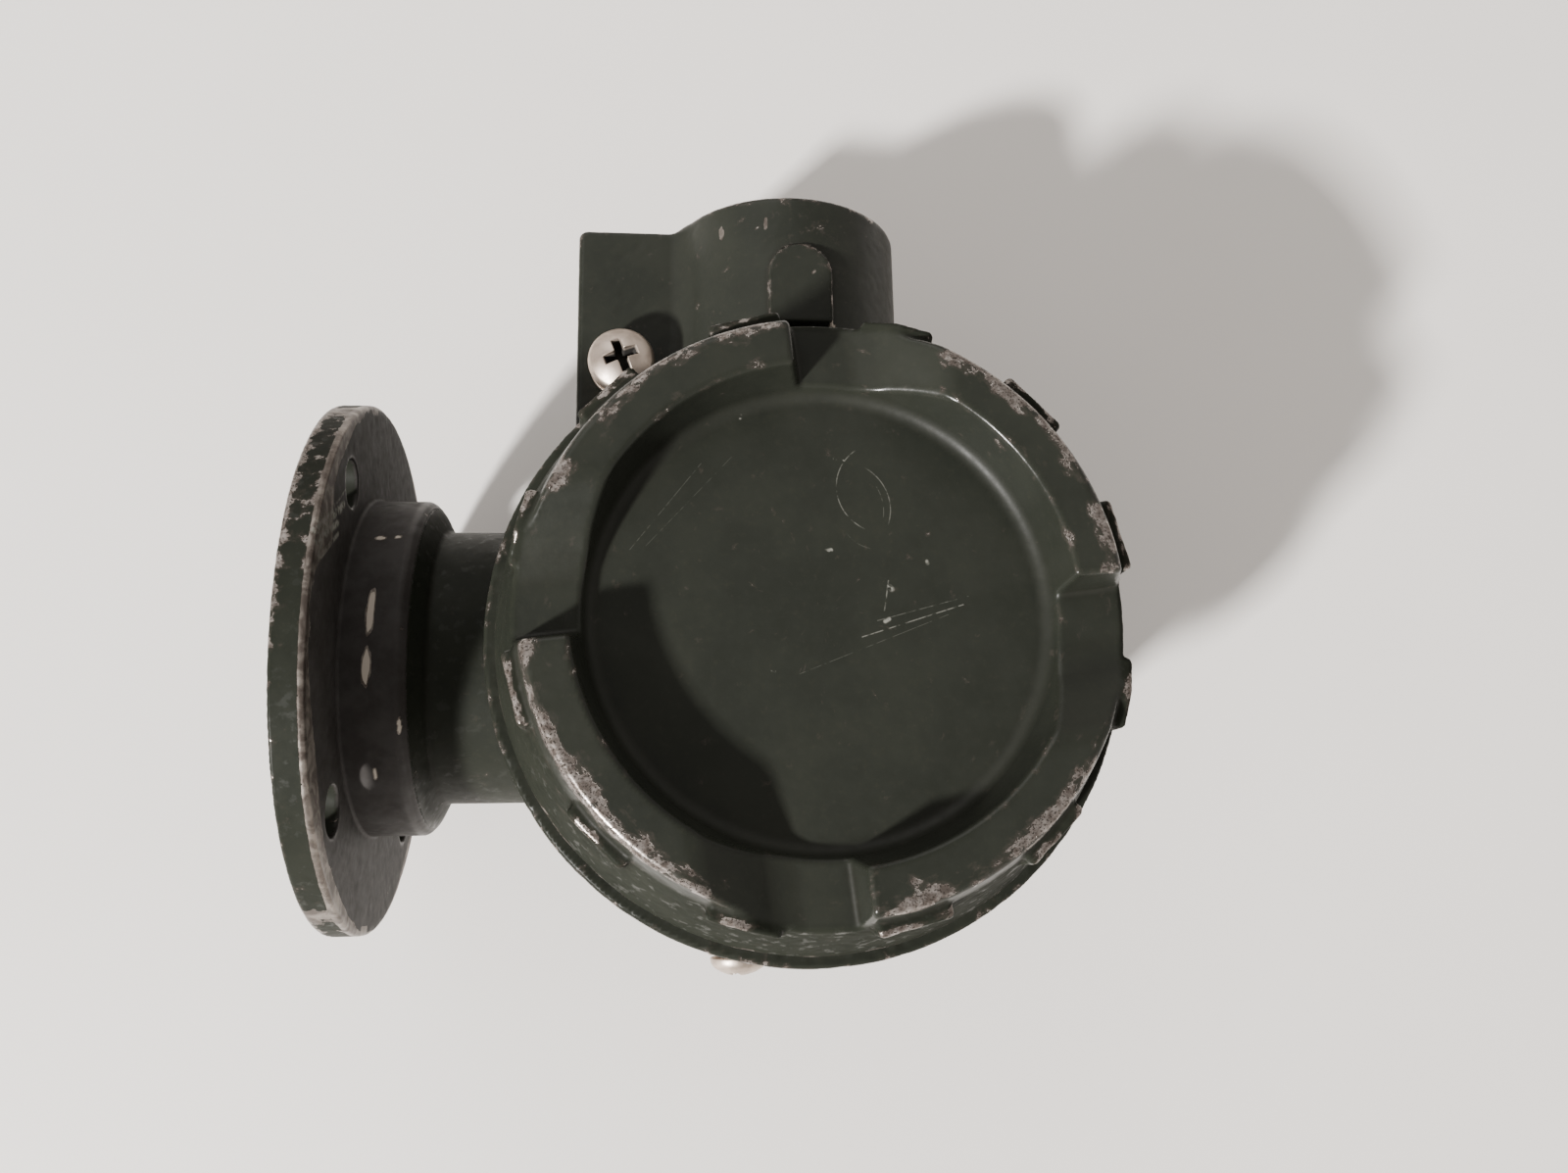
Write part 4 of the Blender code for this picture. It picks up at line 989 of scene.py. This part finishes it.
PAINT = olive_paint("olive_paint_worn")
CAP_PAINT = olive_paint("olive_paint_cap", AXIS_X, SCRATCHES, LOOPS)
FLANGE_PAINT = olive_paint("olive_paint_flange", None, SCORES)
CHROME = bright_metal("plated_steel_bright", (0.60, 0.51, 0.435), (0.40, 0.33, 0.275), 0.38, 0.3)
FINISHES = {
    "plated_steel": CHROME,
    "bearing_steel": bright_metal("bearing_steel_ground", (0.60, 0.61, 0.62), (0.45, 0.45, 0.45),
                                  0.16, 0.12, GROUND_X),
    "black_steel": bright_metal("black_steel_oiled", (0.045, 0.045, 0.048), (0.02, 0.018, 0.016),
                                0.42),
    "black_anodised": bright_metal("anodised_black", (0.03, 0.03, 0.034), (0.016, 0.016, 0.018),
                                   0.45, 0.15, TURNED_X),
    "machined_aluminium": bright_metal("aluminium_machined", (0.78, 0.78, 0.79),
                                       (0.60, 0.60, 0.60), 0.30, 0.15, TURNED_X),
    "magnet": bright_metal("magnet_nickel", (0.42, 0.41, 0.39), (0.30, 0.29, 0.27), 0.22),
    "cage_bronze": bright_metal("bronze_stamped", (0.62, 0.42, 0.17), (0.42, 0.26, 0.10), 0.30),
    "brass": bright_metal("brass_turned", (0.78, 0.58, 0.26), (0.55, 0.38, 0.15), 0.26, 0.15,
                          TURNED_Z),
    "enamelled_copper": wound_copper("copper_enamelled"),
    "rubber": moulded_stuff("nitrile_rubber", (0.014, 0.014, 0.014), (0.026, 0.025, 0.024), 0.72),
    "black_plastic": moulded_stuff("plastic_black", (0.018, 0.018, 0.019), (0.03, 0.03, 0.03),
                                   0.5, 0.25),
    "terminal_plastic": moulded_stuff("plastic_green", (0.03, 0.24, 0.08), (0.02, 0.17, 0.06),
                                      0.42, 0.3),
    "coated_glass": coated_glass("glass_coated"),
    "circuit_board": circuit_board("board_green"),
}


# ---------------------------------------------------------------- pieces

def finish(item, material, body, slot, *nodes):
    """Give a new piece its material and body, and let it stand for its CAD node."""
    item.data.materials.append(material)
    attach(item, body)
    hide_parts(*nodes)
    return item


def castings():
    """The painted cap, housing and flange."""
    cap = moulded("cap_casting", cap_field, (25.5, -42.6, 28.6), (110.9, 42.6, 50.0), 0.42,
                  rub=cap_rub, matt=cap_matt)
    finish(cap, CAP_PAINT, "cap", "olive_paint", "front_cap")
    housing = moulded("housing_casting", housing_field, (6.4, -44.6, -31.5), (112.8, 72.2, 38.7),
                      0.52, rub=housing_rub, scrape=housing_scrape, matt=housing_matt)
    finish(housing, PAINT, "housing", "olive_paint", "housing_body")
    flange = moulded("flange_casting", flange_field, (-0.5, -40.5, -40.5), (14.0, 40.5, 40.5),
                     0.42, rub=flange_rub, scrape=flange_scrape, dull=flange_dull_and_painted_fill,
                     matt=flange_matt)
    finish(flange, FLANGE_PAINT, "housing", "olive_paint", "mounting_flange")


SMALL_STEP = 0.13


def washer(name, node, body, place, low, high, outer, inner, split=False):
    """Plated washer between two heights above the place it sits on."""
    reach = outer + 0.2
    item = moulded(name, washer_field(outer, inner, low, high, split),
                   (-reach, -reach, low - 0.3), (reach, reach, high + 0.3), SMALL_STEP, 0.2, place)
    finish(item, CHROME, body, "plated_steel", node)


def pan_screw(name, body, place, reach, head, shank):
    """Plated cross-head screw: radius and height of its head; radius, length and pitch below."""
    low = (-reach, -reach, -shank[1] - 0.2)
    high = (reach, reach, head[1] + 0.2)
    item = moulded(name, pan_field(*head, *shank), low, high, SMALL_STEP, 0.25, place,
                   dirt=recess_dirt(*head))
    finish(item, CHROME, body, "plated_steel", body)


def screws():
    """The two screws seen outside, and their washers."""
    base = Matrix.Translation(Vector((*EARTH_XY, BLOCK_TOP)) * MM)
    washer("earth_washer_flat", "earth_flat_washer", "earth_washers", base, 0.3, 1.3, 5.0, 2.6)
    washer("earth_washer_lock", "earth_lock_washer", "earth_washers", base, 1.6, 2.8, 4.5, 2.6,
           split=True)
    seat = base @ Matrix.Translation((0, 0, 3.1 * MM))
    pan_screw("earth_pan_screw", "earth_screw", seat, 5.3, (5.2, 3.4), (2.15, 12.0, 0.8))
    outwards = Matrix.Rotation(math.radians(90), 4, "X")
    place = Vector((LOWER_XZ[0], LOWER_Y, LOWER_XZ[1])) * MM
    base = Matrix.Translation(place) @ outwards
    washer("lower_washer_flat", "lower_screw_washer", "lower_washer", base, 0.3, 1.1, 4.2, 2.1)
    seat = base @ Matrix.Translation((0, 0, 1.4 * MM))
    pan_screw("lower_pan_screw", "lower_screw", seat, 4.1, (3.9, 2.5), (1.65, 7.0, 0.7))


SMOOTH_BELOW = 32
BEVEL_ABOVE = 40
BEVEL = 0.12


def smooth_by_angle():
    """Node group that shades a faceted part smooth except at its corners."""
    group = bpy.data.node_groups.new("smooth_by_angle", "GeometryNodeTree")
    group.interface.new_socket("Geometry", in_out="INPUT", socket_type="NodeSocketGeometry")
    group.interface.new_socket("Geometry", in_out="OUTPUT", socket_type="NodeSocketGeometry")
    start = group.nodes.new("NodeGroupInput")
    end = group.nodes.new("NodeGroupOutput")
    angle = group.nodes.new("GeometryNodeInputMeshEdgeAngle")
    small = group.nodes.new("FunctionNodeCompare")
    small.operation = "LESS_THAN"
    small.inputs["B"].default_value = math.radians(SMOOTH_BELOW)
    faces = group.nodes.new("GeometryNodeSetShadeSmooth")
    edges = group.nodes.new("GeometryNodeSetShadeSmooth")
    edges.domain = "EDGE"
    link = group.links.new
    link(angle.outputs["Unsigned Angle"], small.inputs["A"])
    link(start.outputs[0], faces.inputs["Geometry"])
    link(faces.outputs["Geometry"], edges.inputs["Geometry"])
    link(small.outputs["Result"], edges.inputs["Shade Smooth"])
    link(edges.outputs["Geometry"], end.inputs[0])
    return group


def inner_pieces():
    """CAD parts inside the housing keep their shape and get fine edges and real finishes."""
    smooth = smooth_by_angle()
    slots = {entry["node"]: entry["material_slot"] for entry in frame["record"]["subparts"]}
    for name, item in frame["nodes"].items():
        if item.hide_render:
            continue
        item.data.materials.clear()
        item.data.materials.append(FINISHES[slots[name]])
        edge = item.modifiers.new("edges", "BEVEL")
        edge.width = BEVEL * MM
        edge.segments = 2
        edge.limit_method = "ANGLE"
        edge.angle_limit = math.radians(BEVEL_ABOVE)
        item.modifiers.new("smooth", "NODES").node_group = smooth


# ---------------------------------------------------------------- table, light and camera

WORLD_SIDE = 0.82
WORLD_TOP = 0.34
TABLE_LEAN = 5.3


def table():
    """Pale table that the flange's rim and the housing's back edge rest on."""
    lean = math.radians(TABLE_LEAN)
    bpy.ops.mesh.primitive_plane_add(size=3.0)
    top = bpy.context.object
    top.name = "table_top"
    rest = Vector((FLANGE_T, 0, -FLANGE_R - 0.3)) * MM
    top.matrix_world = Matrix.Translation(rest) @ Matrix.Rotation(-lean, 4, "Y")
    m = Recipe("table_laminate")
    tone = m.blend(m.noise(55.0, 3.0), (0.86, 0.828, 0.792), (0.90, 0.870, 0.837))
    marks = m.step(m.noise(14.0, 5.0, 0.6), 0.70, 0.80)
    m.set(Base_Color=m.blend(m.calc("MULTIPLY", marks, 0.12), tone, (0.5, 0.47, 0.43)))
    m.set(Roughness=m.span(m.noise(20.0, 4.0), 0.42, 0.6), Normal=m.relief(m.noise(1.5, 2.0), 0.01))
    top.data.materials.append(m.material)


def lamp(name, towards, distance, size, power, colour):
    """Square light that shines along a direction through the module's middle."""
    light = bpy.data.lights.new(name, "AREA")
    light.size = size
    light.energy = power
    light.color = colour
    item = bpy.data.objects.new(name, light)
    bpy.context.scene.collection.objects.link(item)
    direction = Vector(towards).normalized()
    middle = Vector((60, 10, 10)) * MM
    item.matrix_world = Matrix.Translation(middle - direction * distance) @ \
        direction.to_track_quat("-Z", "Y").to_matrix().to_4x4()


def lighting():
    """A strong small light, a weak soft one opposite, and a room brighter beside than above."""
    lamp("key_light", (0.642, 0.556, -0.528), 2.0, 0.15, 112.0, (1.0, 0.975, 0.95))
    lamp("fill_light", (0.28, -0.72, -0.65), 0.62, 0.40, 0.75, (1.0, 0.98, 0.97))
    world = bpy.data.worlds.new("room")
    world.use_nodes = True
    nodes = world.node_tree.nodes
    link = world.node_tree.links.new
    place = nodes.new("ShaderNodeTexCoord")
    split = nodes.new("ShaderNodeSeparateXYZ")
    link(place.outputs["Generated"], split.inputs[0])
    level = nodes.new("ShaderNodeMapRange")
    level.inputs["From Min"].default_value = 0.45
    level.inputs["From Max"].default_value = 0.98
    level.inputs["To Min"].default_value = WORLD_SIDE
    level.inputs["To Max"].default_value = WORLD_TOP
    link(split.outputs["Z"], level.inputs["Value"])
    back = nodes["Background"]
    back.inputs["Color"].default_value = (1.0, 0.94, 0.885, 1.0)
    link(level.outputs[0], back.inputs["Strength"])
    bpy.context.scene.world = world


def camera():
    """Camera above the cap, leaning a little from the front and the flange side."""
    data = bpy.data.cameras.new("camera")
    data.lens = 28.37
    data.sensor_width = 36.0
    data.sensor_fit = "HORIZONTAL"
    data.clip_start = 0.01
    item = bpy.data.objects.new("camera", data)
    bpy.context.scene.collection.objects.link(item)
    right = (0.9955, -0.0171, 0.0927)
    up = (-0.0034, 0.9765, 0.2157)
    back = (-0.0942, -0.2151, 0.9720)
    turn = Matrix((right, up, back)).transposed().to_4x4()
    item.matrix_world = Matrix.Translation(Vector((48.7, -29.9, 194.0)) * MM) @ turn
    bpy.context.scene.camera = item


castings()
screws()
inner_pieces()
table()
lighting()
camera()
